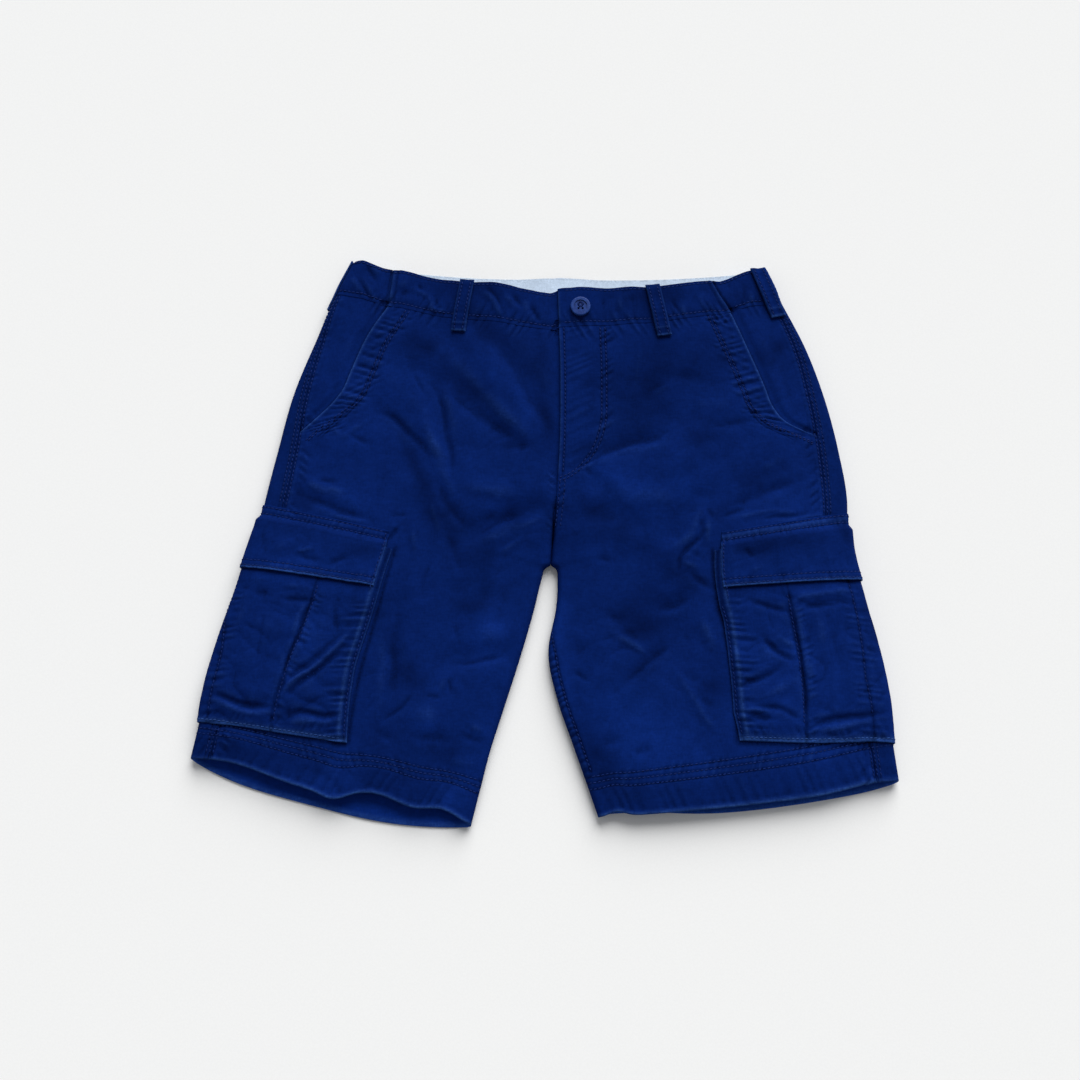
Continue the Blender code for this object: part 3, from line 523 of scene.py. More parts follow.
# painted light and shade, in part also the dye's uneven tone: share by which the colour is lighter or darker,
# half width, then x y of its points in plan
SHADES = (
    (0.4, 11.2, -53, 17, -24, 20),
    (0.5, 13.6, 30, 59, 56, 39, 87, 8),
    (0.24, 14.4, 108, 53, 123, 33),
    (0.47, 25.6, 42, -125, 77, -165, 130, -180),
    (0.19, 24, 165, -182, 234, -179),
    (0.45, 19.2, -65, -86, -23, -86),
    (0.42, 13.6, -98, -153, -84, -156),
    (0.4, 12, -189, -69, -189, -84),
    (0.24, 20.8, -166, 122, -134, 133),
    (0.21, 11.2, -182, 91, -139, 77),
    (0.17, 11.2, -171, 28, -127, 13),
    (0.19, 11.2, 159, 126, 174, 116),
    (0.14, 14.4, 177, 94, 209, 88),
    (0.18, 14.4, 167, 17, 242, 14),
    (0.24, 8, -127, -16, -133, -48),
    (0.26, 8, -262, -150, -212, -154, -158, -162),
    (0.33, 11.2, 195, -82, 201, -105),
    (0.21, 20.8, 154, -144, 265, -163),
    (0.26, 8.8, -240, -32, -193, -35),
    (0.24, 8.8, 173, -46, 243, -45),
    (0.28, 9.6, 13, -34, 7, -86, 13, -125, 27, -163),
    (0.17, 12.8, -36, -133, -51, -194),
    (-0.4, 20.8, 126, 133, 89, 133, 64, 97),
    (-0.14, 32, 61, 160, 126, 152),
    (-0.26, 14.4, 121, 88, 134, 80),
    (-0.31, 8.8, -98, 158, -62, 119, -27, 99),
    (-0.31, 9.6, -78, 210, -60, 184, -32, 156),
    (-0.26, 10.4, -4, 173, 0, 109),
    (-0.35, 12, -101, 44, -91, 22, -71, 2),
    (-0.26, 20.8, -71, -14, -32, -22),
    (-0.24, 17.6, -59, -46, -35, -48),
    (-0.4, 17.6, 74, -64, 86, -86),
    (-0.26, 9.6, 44, 12, 77, -6),
    (-0.31, 10.4, -103, -108, -98, -128),
    (-0.21, 10.4, -129, -58, -126, -76),
    (-0.18, 10.4, -138, -160, -121, -162),
    (-0.18, 9.6, -75, -165, -64, -171),
    (-0.31, 10.4, 33, -162, 46, -190, 51, -209),
    (-0.28, 10.4, 130, -105, 132, -133),
    (-0.19, 11.2, 136, 28, 142, 7),
    (-0.28, 11.2, -94, 215, -20, 202),
    (-0.28, 12.8, 42, 196, 127, 203),
    (-0.14, 12.8, 143, 195, 181, 208),
    (-0.28, 13.6, 181, 160, 201, 150),
    (-0.17, 10.4, -193, 122, -180, 109),
    (-0.21, 9.6, -200, 41, -192, 26),
    (-0.28, 8, 140, -10, 237, -6),
    (-0.26, 11.2, -258, -165, -230, -171),
    (-0.17, 11.2, 240, 51, 241, 18),
    (-0.14, 11.2, 122, -22, 83, -30),
    (0.21, 16, 42, -125, 73, -163),
    (0.12, 27.2, 156, -86, 259, -133),
    (0.12, 11.2, 149, -133, 150, -160),
    (0.17, 9.6, 123, 35, 72, 22),
    (-0.17, 9.6, -102, 160, -85, 152),
    (-0.17, 11.2, 44, 97, 117, 109),
    (-0.14, 9.6, 32, 113, 44, 109),
    (-0.14, 11.2, 116, 84, 156, 76),
    (-0.14, 11.2, 164, 51, 204, 55),
    (-0.14, 8.8, -78, -58, -35, -58),
    (0.17, 9.6, 231, 39, 238, 26),
    (0.14, 7.2, 158, 2, 202, 6),
    (0.14, 10.4, 10, -62, 16, -125),
    (-0.14, 8, -101, 51, -95, 30),
    (0.19, 11.2, -69, -192, -54, -209),
    (-0.14, 9.6, -74, 17, -51, -6),
    (-0.14, 11.2, 51, -205, 88, -201),
    (0.17, 12.8, -162, 122, -117, 101, -76, 63, -40, 30),
    (0.16, 7.2, 77, 122, 84, 147),
    (0.2, 7.2, 36, 53, 56, 39, 79, 14),
    (0.2, 9.6, -59, -86, -49, -98),
    (0.22, 6.4, 13, -46, 14, -78),
    (0.16, 9.6, -251, -144, -208, -152),
    (0.15, 9.6, -232, -36, -193, -38, -137, -44),
    (0.16, 11.2, 166, -125, 197, -129),
    (0.18, 11.2, 150, -163, 196, -171, 234, -165),
    (0.14, 11.2, 111, -179, 119, -163),
    (0.14, 11.2, 203, -190, 264, -190),
    (0.13, 11.2, 165, 97, 205, 84),
    (-0.17, 11.2, -53, 160, -4, 156),
    (-0.17, 9.6, 37, 156, 61, 109),
    (-0.14, 9.6, -118, 156, -94, 164),
    (-0.17, 8, 0, 122, 6, 84),
    (-0.19, 9.6, 36, 72, 76, 84, 109, 105),
    (-0.15, 11.2, 118, 160, 125, 118),
    (-0.17, 9.6, 159, 43, 180, 51),
    (-0.17, 9.6, 146, -18, 193, -14),
    (-0.15, 11.2, 75, -38, 94, -62),
    (-0.15, 8, 62, -113, 81, -105, 93, -86),
    (-0.14, 8.8, -75, 14, -71, -38),
    (-0.14, 8, 204, 63, 228, 55),
    (-0.17, 7.2, 235, -144, 266, -144),
    (-0.13, 9.6, -125, -70, -116, -125),
    (-0.14, 8, 32, 22, 43, 2),
    (-0.16, 7.2, -242, 8, -194, 4, -127, -6),
    (0.12, 16, 152, -86, 213, -125),
    (0.12, 11.2, -80, -194, -69, -186),
    (0.12, 8, -103, -150, -89, -151),
    (-0.12, 8, -28, 14, -12, 8),
    (-0.12, 9.6, 199, 152, 183, 169),
    (-0.14, 7.2, 235, 88, 240, 55),
    (-0.12, 8, 42, -167, 61, -182),
    (-0.14, 9.6, -98, 169, -81, 152),
    (-0.26, 6.4, -141, 108, -116, 86, -100, 44, -75, 22),
    (-0.25, 6.4, -38, 77, -24, 66),
    (-0.33, 7.2, 0, 111, 3, 72),
    (-0.33, 7.2, 12, 67, 46, 70),
    (-0.18, 6.4, 27, 128, 40, 119),
    (-0.25, 6.4, -42, 2, -16, 9),
    (-0.23, 6.4, -203, 35, -179, 18),
    (-0.21, 6.4, -166, -13, -122, -16),
    (-0.21, 5.6, -157, -56, -137, -56),
    (-0.26, 8, 117, 88, 122, 67),
    (-0.25, 9.6, 152, 55, 167, 30),
    (-0.33, 7.2, 231, 26, 239, -14),
    (-0.33, 5.6, 146, -11, 158, -19),
    (-0.2, 13, 52, -54, 86, -86),
    (-0.25, 7.2, 66, -105, 77, -116),
    (-0.33, 7.2, 31, -157, 47, -176),
    (-0.25, 6.4, 92, -29, 128, -46),
    (-0.25, 8, -102, -167, -65, -173),
    (-0.23, 7.2, -214, -145, -188, -145),
    (-0.33, 5.6, 252, -42, 261, -94),
    (-0.25, 8, 136, 152, 151, 133),
    (-0.25, 7.2, -96, 202, -81, 202),
    (-0.23, 7.2, 175, -103, 189, -108),
    (0.26, 7.2, -187, 88, -165, 94),
    (0.21, 6.4, -65, 156, -32, 116),
    (0.21, 6.4, -20, 109, -12, 76),
    (0.4, 6.4, -6, 0, 5, -16),
    (0.23, 6.4, 32, -6, 43, -22),
    (0.28, 8.8, 106, 44, 130, 33),
    (0.21, 8, 76, 53, 87, 14),
    (0.23, 8, 67, 122, 81, 109),
    (0.28, 7.2, -212, -34, -177, -30),
    (0.31, 8, -190, -70, -181, -94),
    (0.25, 8, -204, -105, -199, -126),
    (0.28, 9.6, 148, -74, 155, -105),
    (0.28, 5.6, 134, -32, 140, -48),
    (0.25, 8, -60, -86, -39, -92),
    (0.33, 7.2, -97, -146, -81, -156),
    (0.25, 7.2, -262, -150, -213, -160),
    (0.3, 9.6, -165, -163, -151, -201),
    (0.33, 7.2, -212, -188, -145, -203),
    (0.43, 7.2, -80, -194, -66, -220),
    (0.26, 9.6, 111, -167, 130, -203),
    (0.25, 8, 173, -165, 242, -165),
    (0.25, 7.2, 247, -185, 264, -188),
    (0.23, 7.2, 172, -133, 193, -136),
    (-0.08, 19.2, 43, -42, 74, -70, 96, -92),
    (-0.07, 10.4, 35, 139, 46, 111),
    (-0.17, 9.6, -19, 156, -12, 116),
    (-0.16, 11.2, -118, 169, -92, 141),
    (-0.17, 7.2, -63, 170, -37, 156),
    (-0.18, 7.2, -74, 30, -67, 15),
    (-0.16, 8, -78, -54, -42, -62),
    (-0.2, 8, 34, 26, 58, 6),
    (-0.17, 9.6, 126, 169, 130, 156),
    (-0.17, 11.2, 167, 152, 191, 143),
    (-0.2, 6.4, -114, -125, -101, -98),
    (0.2, 11.2, 31, -125, 50, -142),
    (0.15, 11.2, 88, -179, 111, -182),
)
# x in plan, how far the front waist edge drops from its smooth line
WAIST_WAVES = (
    (-168, -1.2),
    (-158, -1.6),
    (-151, -2.6),
    (-142, -0.8),
    (-133, 1.0),
    (-125, 1.2),
    (-118, -0.2),
    (-110, 0.2),
    (-98, 1.8),
    (-86, 2.5),
    (-76, 1.8),
    (-61, 1.1),
    (-53, 0.0),
    (-41, -1.4),
    (-29, -0.2),
    (-20, 1.5),
    (-11, 2.6),
    (-3, 3.7),
    (6, 2.8),
    (11, 0.0),
    (21, -1.1),
    (29, -1.8),
    (39, -1.0),
    (53, 0.4),
    (70, -0.2),
    (86, 1.6),
    (111, 1.1),
    (127, 1.3),
    (137, 2.3),
    (144, 4.1),
    (152, 2.7),
    (160, 0.5),
    (170, -1.2),
    (178, 0.2),
    (189, 0.0),
)
# on the under layer, all lifting the cloth off the surface
BACK_CREASES = (
    (-120, 140, -80, 96, 9, 12, 0.8),
    (-60, 60, -20, 20, 7, 10, 0.7),
    (-150, 20, -104, -14, 8, 9, 0.6),
    (-110, -80, -70, -120, 10, 7, 0.8),
    (30, 120, 66, 84, 8, 10, 0.7),
    (70, 20, 130, 6, 9, 7, 0.8),
    (40, -60, 84, -96, 7, 11, 0.7),
    (120, -110, 170, -150, 9, 8, 0.6),
)
# side, height, half widths, then p v of its points: on the cargo pockets
POCKET_CREASES = (
    ("left", -1.1, 2.4, 2.4, 39.1, 286.4, 51.3, 284.6, 63.6, 283.6),
    ("left", 0.9, 3.2, 3.2, 39.6, 274.7, 63.0, 273.0),
    ("left", 0.6, 4.0, 4.0, 10.0, 275.6, 27.5, 274.7),
    ("left", -0.9, 3.2, 3.2, 17.0, 285.0, 30.1, 288.2),
    (
        "left", -1.3, 1.8, 1.8, 63.6, 283.6, 60.7, 292.4, 60.7, 305.0, 61.4, 317.2, 61.0, 329.3,
        61.0, 341.1, 60.7, 352.8, 59.7, 362.1, 57.9, 372.3
    ),
    ("left", 0.9, 2.1, 2.1, 57.9, 288.1, 56.8, 300.1, 57.5, 314.8),
    ("left", 0.9, 9.6, 9.6, 70.8, 291.9, 77.1, 317.7),
    ("left", -0.9, 3.2, 3.2, 83.0, 279.3, 86.3, 296.7, 93.0, 303.4),
    ("left", 1.6, 1.9, 1.9, 100.3, 301.8, 91.5, 316.8, 80.4, 332.9, 68.6, 347.2, 61.9, 357.9),
    ("left", -1.1, 2.4, 2.4, 92.0, 305.3, 81.5, 322.3, 69.2, 340.1, 61.1, 351.1),
    ("left", -1.1, 2.4, 2.4, 102.3, 308.7, 91.4, 324.9, 76.9, 343.8, 67.6, 356.6),
    ("left", -1.5, 2.4, 2.4, 7.6, 370.8, 28.6, 372.5, 39.9, 372.4, 58.1, 369.3),
    ("left", 0.9, 2.4, 2.4, 8.6, 375.8, 33.3, 377.5, 58.9, 373.6),
    ("left", -1.5, 2.4, 2.4, 64.6, 371.7, 76.8, 369.1, 95.6, 369.5, 109.6, 363.5),
    ("left", 0.9, 2.4, 2.4, 66.1, 376.6, 96.3, 374.6, 108.9, 368.9),
    ("left", -0.5, 1.8, 1.8, 30.4, 299.2, 35.4, 318.9, 38.0, 338.3),
    ("left", -0.6, 4.0, 4.0, 4, 306, 6, 335, 9, 360),
    ("left", 0.6, 4.0, 4.0, 12, 292, 16, 327),
    ("right", 0.8, 3.2, 3.2, 57.9, 277.4, 7.4, 283.7),
    ("right", -1.1, 2.4, 2.4, 94.7, 278.2, 80.1, 282.4, 62.7, 291.1),
    ("right", -0.8, 2.4, 2.4, 53.9, 286.9, 20.2, 293.1),
    (
        "right", -1.3, 1.8, 1.8, 59.7, 275.5, 62.3, 289.6, 61.4, 306.0, 63.5, 321.5, 64.2, 333.2,
        63.9, 345.0, 64.4, 360.3, 65.1, 374.7
    ),
    ("right", 0.7, 3.2, 3.2, 56.0, 282.5, 59.1, 322.3, 59.9, 353.5),
    ("right", -1.4, 2.4, 2.4, 85.2, 306.0, 80.0, 317.2, 73.7, 323.8, 65.3, 330.6),
    ("right", 1, 4.0, 4.0, 78.1, 298.2, 64.6, 319.8),
    ("right", -1.4, 2.4, 2.4, 111.7, 342.5, 98.7, 339.9, 87.0, 335.6, 76.3, 329.6),
    ("right", 1, 4.8, 4.8, 105.4, 353.5, 73.5, 344.9),
    ("right", -1.2, 2.1, 2.1, 95.7, 359.5, 82.9, 363.1, 67.1, 372.9),
    ("right", 1.1, 2.1, 2.1, 110.8, 366.0, 101.0, 361.7, 90.4, 364.8),
    ("right", -1.1, 2.1, 2.1, 109.6, 369.7, 101.4, 367.4, 87.2, 371.1),
    ("right", -1.5, 2.4, 2.8, 63.8, 377.6, 47.9, 376.8, 33.4, 377.2, 19.1, 380.6, 4, 380),
    ("right", 0.7, 2.4, 2.4, 61.1, 382.8, 33.8, 383.5, 6, 384),
    ("right", -0.6, 2.1, 2.1, 51.9, 385.0, 41.3, 387.7),
    ("right", -0.6, 4.0, 4.0, 34.3, 302.4, 36.5, 337.9, 35.0, 365.5),
    ("right", 0.6, 4.0, 4.0, 41.3, 293.0, 46.0, 332.3),
)
FLAP_CREASES = (
    ("left", -0.8, 3.2, 3.2, 83.0, 240.2, 66.1, 255.9),
    ("left", 0.8, 1.9, 1.9, 42.5, 249.3, 55.8, 240.4),
    ("left", -0.6, 2.4, 2.4, 44.7, 251.3, 64.5, 250.4),
    ("left", -0.5, 4.0, 4.0, 11.1, 243.0, 20.9, 258.0),
    ("left", 0.5, 4.8, 4.8, 28.2, 237.8, 32.0, 257.4),
    ("right", -0.7, 4.8, 4.8, 96.6, 233.9, 60.9, 241.9),
    ("right", -0.7, 2.4, 2.4, 88.6, 230.5, 79.3, 242.5),
    ("right", 0.7, 3.2, 3.2, 73.4, 248.7, 86.2, 254.7),
    ("right", -0.5, 4.0, 4.0, 44.7, 240.0, 37.6, 257.9),
    ("right", 0.5, 4.8, 4.8, 23.9, 242.9, 22.1, 260.5),
)
# side, height, half widths, then q v of its points: on the waistband
BAND_CREASES = (
    ("left", 0.9, 1.9, 1.9, 6.7, 14.4, 18.0, 23.8, 25.7, 29.4),
    ("left", 1, 2.4, 2.4, 17.5, 17.4, 27.6, 24.3, 38.7, 32.0),
    ("left", -0.9, 1.9, 1.9, 12.9, 16.7, 24.2, 24.2, 33.0, 30.5),
    ("left", -0.7, 2.4, 2.4, 15.1, 4.1, 31.2, 16.2),
    ("left", 0.7, 3.2, 3.2, 14.2, 1.5, 32.1, 9.0),
    ("left", 1, 1.9, 1.9, 60.7, 13.0, 72.3, 14.5, 79.3, 20.2, 82.7, 25.8, 97.0, 27.8),
    ("left", -0.8, 1.8, 1.8, 61.8, 6.7, 68.4, 11.7),
    ("left", -0.9, 1.8, 1.8, 80.4, 15.7, 84.3, 23.8),
    ("left", -0.7, 3.2, 3.2, 49.3, 18.7, 61.9, 17.2),
    ("left", 0.6, 3.2, 3.2, 44.2, 11.7, 56.8, 10.2),
    ("left", 1.1, 1.9, 1.9, 111.2, 8.8, 123.3, 13.2, 132.2, 19.7, 143.0, 28.8),
    ("left", -0.9, 1.9, 1.9, 112.4, 4.4, 126.0, 12.0, 137.3, 20.0),
    ("left", 0.8, 2.7, 2.7, 130.0, 6.7, 141.0, 12.2, 159.5, 19.6),
    ("left", -0.7, 2.4, 2.4, 138.3, 6.7, 151.7, 13.7),
    ("left", -1.3, 1.9, 2.1, 157.3, 11.6, 165.1, 19.1, 172.3, 27.8),
    ("left", 0.7, 2.4, 2.4, 149.0, 8.2, 159.5, 17.9),
    ("right", 0.6, 1.9, 1.9, 20.6, 16.1, 32.6, 34.7),
    ("right", -0.6, 2.4, 2.4, 26.8, 12.9, 35.9, 29.2),
    ("right", -0.6, 2.4, 2.4, 140.8, 5.5, 150.4, 23.3),
    ("right", 0.6, 4.8, 4.8, 71.6, 11.9, 59.9, 15.5),
    ("right", -0.6, 3.2, 3.2, 86.5, 11.7, 90.3, 27.5),
    ("right", 0.6, 2.4, 2.4, 79.4, 16.3, 88.0, 31.5),
    ("right", -0.6, 2.1, 2.1, 47.4, 17.6, 43.8, 35.3),
    ("right", 0.6, 2.4, 2.4, 128.3, 5.3, 132.8, 22.8),
    ("right", -0.5, 2.4, 2.4, 117.1, 6.1, 124.8, 27.0),
)

# size in mm, turn, stretch along it, height
CRUMPLES = (
    (15, 0.5, 2.4, 0.55),
    (13, -0.6, 2.2, 0.5),
    (8, 0.15, 2.0, 0.2),
    (7, 1.2, 2.0, 0.16),
    (4.2, -0.2, 1.6, 0.06),
)

STITCH_PITCH = 3.5
STITCH_LENGTH = 2.6
STITCH_RADIUS = 0.5
SEAM_ROWS = (-4.2, -1.4, 1.5)  # triple stitching about the side seam
SEAM_LEDGE = 4.8  # edge of the felled allowance on the front
HEM_ROWS = (392.5, 397.2, 402.0)
MOUTH_ROWS = (16.5, 19.5)  # in from the pocket mouth
FLY_ROWS = (34.0, 38.0)  # in from the overlap edge
EDGE_ROW = 4.2  # the row beside the overlap edge
CROTCH_ROWS = (2.2, 6.2)  # in from the centre line below the fly
BAND_ROWS = (2.6, 27.4)  # v
LOOP_ROW = 3.4  # out from the loop's middle, on both sides
FLAP_TOP_ROWS = (2.0, 7.6)  # down from the flap's top
FLAP_LOW_ROWS = (2.2, 6.6)  # up from its bottom
POCKET_ROW = 2.6  # up from the pocket's bottom
INSEAM_BAND = 9.0  # of the right leg, from the fold to its row of stitches


def bump(x, y, rows):
    """Soft ridges and troughs: gaussian across, tapered at both ends, one side wider."""
    total = np.zeros(np.broadcast(x, y).shape)
    for x0, y0, x1, y1, wide, other, height in rows:
        dx, dy = x1 - x0, y1 - y0
        size = math.hypot(dx, dy)
        ux, uy = dx / size, dy / size
        along = (x - x0) * ux + (y - y0) * uy
        off = (y - y0) * ux - (x - x0) * uy
        off = off - 0.09 * size * (1 - (2 * along / size - 1) ** 2).clip(0)
        across = np.exp(-((off / np.where(off > 0, other, wide)) ** 2))
        fade = 0.3 * size + wide
        total += height * across * soft(along, -wide, fade) * (1 - soft(along, size - fade, size + wide))
    return total


def eased(path):
    """A broken line with its corners rounded."""
    if len(path) < 3:
        return path
    ahead = np.concatenate([path[1:], path[-1:]])
    behind = np.concatenate([path[:1], path[:-1]])
    tangent = (ahead - behind) / 2
    found = []
    for k in range(len(path) - 1):
        for t in (0.0, 0.34, 0.67):
            found.append(
                path[k] * (1 + 2 * t) * (1 - t) ** 2
                + path[k + 1] * t * t * (3 - 2 * t)
                + tangent[k] * t * (1 - t) ** 2
                - tangent[k + 1] * t * t * (1 - t)
            )
    return np.array(found + [path[-1]])


def strokes(x, y, rows):
    """Soft ridges and troughs along broken lines: gaussian across, tapered at both ends."""
    x, y = np.broadcast_arrays(x, y)
    shift_x = 1.1 * np.sin(y / 13 + 1.3 * np.sin(x / 23)) + 0.5 * np.sin(y / 5.1 + x / 9.7)
    shift_y = 1.1 * np.sin(x / 15 + 1.1 * np.sin(y / 19)) + 0.5 * np.sin(x / 5.7 - y / 8.3)
    total = np.zeros(x.shape)
    for height, wide_left, wide_right, *path in rows:
        path = eased(np.array(path, float).reshape(-1, 2))
        wide = max(wide_left, wide_right)
        low, high = path.min(0) - 2.6 * wide - 1, path.max(0) + 2.6 * wide + 1
        near = (x > low[0]) & (x < high[0]) & (y > low[1]) & (y < high[1])
        if not near.any():
            continue
        px, py = (x + shift_x)[near], (y + shift_y)[near]
        nearest = np.full(px.shape, np.inf)
        along, left = np.zeros(px.shape), np.zeros(px.shape, bool)
        run = 0.0
        for (x0, y0), (x1, y1) in zip(path, path[1:]):
            dx, dy = x1 - x0, y1 - y0
            size = math.hypot(dx, dy)
            t = np.clip(((px - x0) * dx + (py - y0) * dy) / size**2, 0, 1)
            ex, ey = px - x0 - t * dx, py - y0 - t * dy
            away = ex * ex + ey * ey
            closer = away < nearest
            nearest = np.where(closer, away, nearest)
            along = np.where(closer, run + t * size, along)
            left = np.where(closer, dx * ey - dy * ex > 0, left)
            run += size
        fade = 0.3 * run + 0.4 * wide
        taper = (0.25 + 0.75 * soft(along, 0, fade)) * (0.25 + 0.75 * (1 - soft(along, run - fade, run)))
        uneven = 1 + 0.22 * np.sin(along / (0.11 * run + 2.5) + height * 9)
        total[near] += height * taper * uneven * np.exp(-nearest / np.where(left, wide_left, wide_right) ** 2)
    return total


def cloud(x, y, size, seed):
    """Smooth random values from -1 to 1, with features of that size in mm."""
    values = np.random.default_rng(seed).uniform(-1, 1, (256, 256))
    u, w = np.asarray(x) / size + 128, np.asarray(y) / size + 128
    i, j = np.floor(u).astype(int), np.floor(w).astype(int)
    u, w = u - i, w - j
    u, w = u * u * (3 - 2 * u), w * w * (3 - 2 * w)
    i, j = i % 255, j % 255
    near = values[i, j] * (1 - u) + values[i + 1, j] * u
    far = values[i, j + 1] * (1 - u) + values[i + 1, j + 1] * u
    return near * (1 - w) + far * w


def crumple(x, y, seed):
    """Small uneven folds of washed cloth: soft pads with narrow troughs between them."""
    bent_x, bent_y = x + 5 * cloud(x, y, 17, seed), y + 5 * cloud(x, y, 19, seed + 1)
    total = np.zeros(np.broadcast(x, y).shape)
    for k, (size, turn, long, height) in enumerate(CRUMPLES):
        u = bent_x * math.cos(turn) + bent_y * math.sin(turn)
        w = bent_y * math.cos(turn) - bent_x * math.sin(turn)
        pads = np.abs(cloud(u / long, w, size, seed + 2 + k))
        strong = 0.45 + 0.55 * cloud(x, y, 4 * size, seed + 20 + k)
        total += height * strong * (np.sqrt(pads + 0.015) - 0.5)
    return total


def rungs(t, pitch, seed):
    """Uneven puckers along a seam, from -1 to 1."""
    turn = 2 * math.pi / pitch
    phase = turn * t + 1.5 * np.sin(turn * t / 4.3 + seed) + 1.1 * np.sin(turn * t / 7.7 + 2.1 * seed)
    size = 0.62 + 0.38 * np.sin(turn * t / 5.3 + 1.7 * seed)
    return size * (np.cos(phase) + 0.3 * np.cos(2 * phase + seed)) / 1.3


def hump(d, start, end, edge=1.2):
    """1 between start and end, 0 outside."""
    return soft(d, start - edge, start + edge) * (1 - soft(d, end - edge, end + edge))


def covered(side, q, v):
    """1 under a cargo pocket."""
    low = pocket_bottom(side, q)
    return hump(q, -46, 108, 3) * hump(v, 224, low - 3, 3)


def fly_turn(offset):
    """Height of the J's turn for a row at that distance from the overlap edge."""
    return FLY_END + 4 - FLY_STRAIGHT + (offset - FLY_WIDTH) * 0.6


def fly_line(offset, v):
    """q of a row of the J stitching."""
    reach, _ = lengths("right", v)
    turn = np.clip((v - FLY_STRAIGHT) / fly_turn(offset), 0, 1)
    return reach - offset * np.sqrt(1 - turn**2)


def inseam_band(v):
    return INSEAM_BAND * soft(v, 254, 300)


def calm(side, q, v):
    """1 under a belt loop of the front, where the cloth is held flat."""
    total = np.zeros(np.broadcast(q, v).shape)
    for name, (loop_side, top_q, _, length, _) in LOOPS.items():
        if loop_side == side and top_q is not None and top_q > 0:
            away = np.abs(q - loop_centre(name, v))
            total = np.maximum(total, (1 - soft(away, 6.5, 11)) * (1 - soft(v, length + 1, length + 7)))
    return total


def dips(d, rows, deep=0.22, wide=0.9):
    """Narrow dimples along rows of stitching, d across them."""
    return -deep * sum(bell(d - row, wide) for row in rows)


def dark_rows(d, rows, strength=1.0, wide=0.8):
    """Painted shade along rows of stitching, where they sink the cloth; d across them."""
    return -dips(d, rows, strength, wide)


def side_seam_relief(side, q, v, seed):
    """Felled side seam below the waistband: its ledge, its rows' dimples, its puckers."""
    d = q - seam_q(side, v)
    total = 0.45 * hump(d, -5.8, SEAM_LEDGE, 0.5) + dips(d, SEAM_ROWS)
    total += 0.34 * hump(d, -6, 5, 2) * rungs(v + 0.3 * d, 6.3, seed)
    total += 0.7 * hump(d, 5.5, 12, 3) * rungs(v - 0.6 * d, 8.6, seed + 1) * soft(v, 120, 150)
    return total * (soft(v, WAIST_SEAM - 1, WAIST_SEAM + 3) * (1 - covered(side, q, v)))


def mouth_relief(side, q, v, seed):
    """Turned edge of the slanted pocket mouth, its rows' dimples, two sets of puckers."""
    d = q - mouth_q(side, v)
    lean = 0.12 - 0.95 * soft(v, 112, 140)
    jag = 3.0 * np.sin(v / 3.3 + 2 * np.sin(v / 7.9 + seed))
    strong = 1.15 * (0.6 + 0.4 * soft(v, 60, 100))
    total = strong * hump(d + jag * soft(d, 8, 20), 3.5, 21, 4) * rungs(v - lean * d, 6.3, seed + 2)
    total += 0.5 * hump(d + jag * soft(d, 6, 18), 5, 25, 5) * rungs(v + 0.8 * d, 8.3, seed + 9)
    total += 0.5 * bell(d - 1.6, 1.2) + dips(d, MOUTH_ROWS, 0.3)
    return total * hump(v, WAIST_SEAM + 2, MOUTH_END - 2, 4)


def band_seam_relief(q, v, seed):
    """Gathers along the waistband's seam."""
    uneven = v + 3 * np.sin(q / 3.7 + seed)
    gathers = hump(uneven, WAIST_SEAM - 9, WAIST_SEAM + 10, 5) * rungs(q + 0.12 * v, 7.0, seed + 3)
    return 0.62 * gathers * soft(q, 12, 30)


def hem_relief(side, q, v, seed):
    """Dimples and puckers of the hem's rows, and its edge, which turns down in the middle."""
    total = dips(v, HEM_ROWS, 0.26) * (1 - covered(side, q, v))
    total += 0.5 * hump(v, 390, 404, 3) * rungs(q - 0.5 * v, 6.6, seed + 4)
    total += 0.3 * hump(v, 406, 420, 6) * rungs(q, 27, seed + 5)
    total += 0.3 * hump(v, 404, 423, 4) * rungs(q + 0.4 * v, 8.7, seed + 8)
    reach, _ = lengths(side, v)
    middle = np.clip(np.sin(np.pi * np.clip(q / reach, 0, 1)), 0, 1) ** 0.5
    return total + 0.9 * soft(v, 419.5, 422.8) - 2.2 * soft(v, 396, 424) * middle


def inseam_relief(d, v, seed):
    """Puckered inseam of the right leg, d in from its fold."""
    band = inseam_band(v)
    total = 1.15 * hump(d, 0.5, band - 0.5, 2) * rungs(v + 0.25 * d, 5.3, seed + 6)
    total += dips(d - band, (0.0,), 0.6, 1.7)
    return total * soft(v, 264, 286) * (1 - soft(v, 386, 392))


def past_fly_row(q, v):
    """How far a point lies past the J's first row, towards the overlap edge."""
    return q - fly_line(FLY_ROWS[0], np.clip(v, 0, FLY_END + 3))


def fly_relief(q, v, reach):
    """The fly's two J-shaped rows and its overlap edge, with their puckers."""
    d = past_fly_row(q, v)
    total = dips(d, (0.0, FLY_ROWS[0] - FLY_ROWS[1]), 0.3)
    total += 0.6 * hump(d, -9, 1, 3) * rungs(v - 0.5 * d, 6.9, 4.1)
    d = reach - q
    total += 0.35 * bell(d - 1.8, 1.3) + dips(d, (EDGE_ROW,), 0.25)
    total += 0.34 * hump(d, 4, 26, 6) * rungs(v + 0.35 * d, 7.4, 5.2)
    return total * hump(v, WAIST_SEAM + 2, FLY_END + 3, 3)


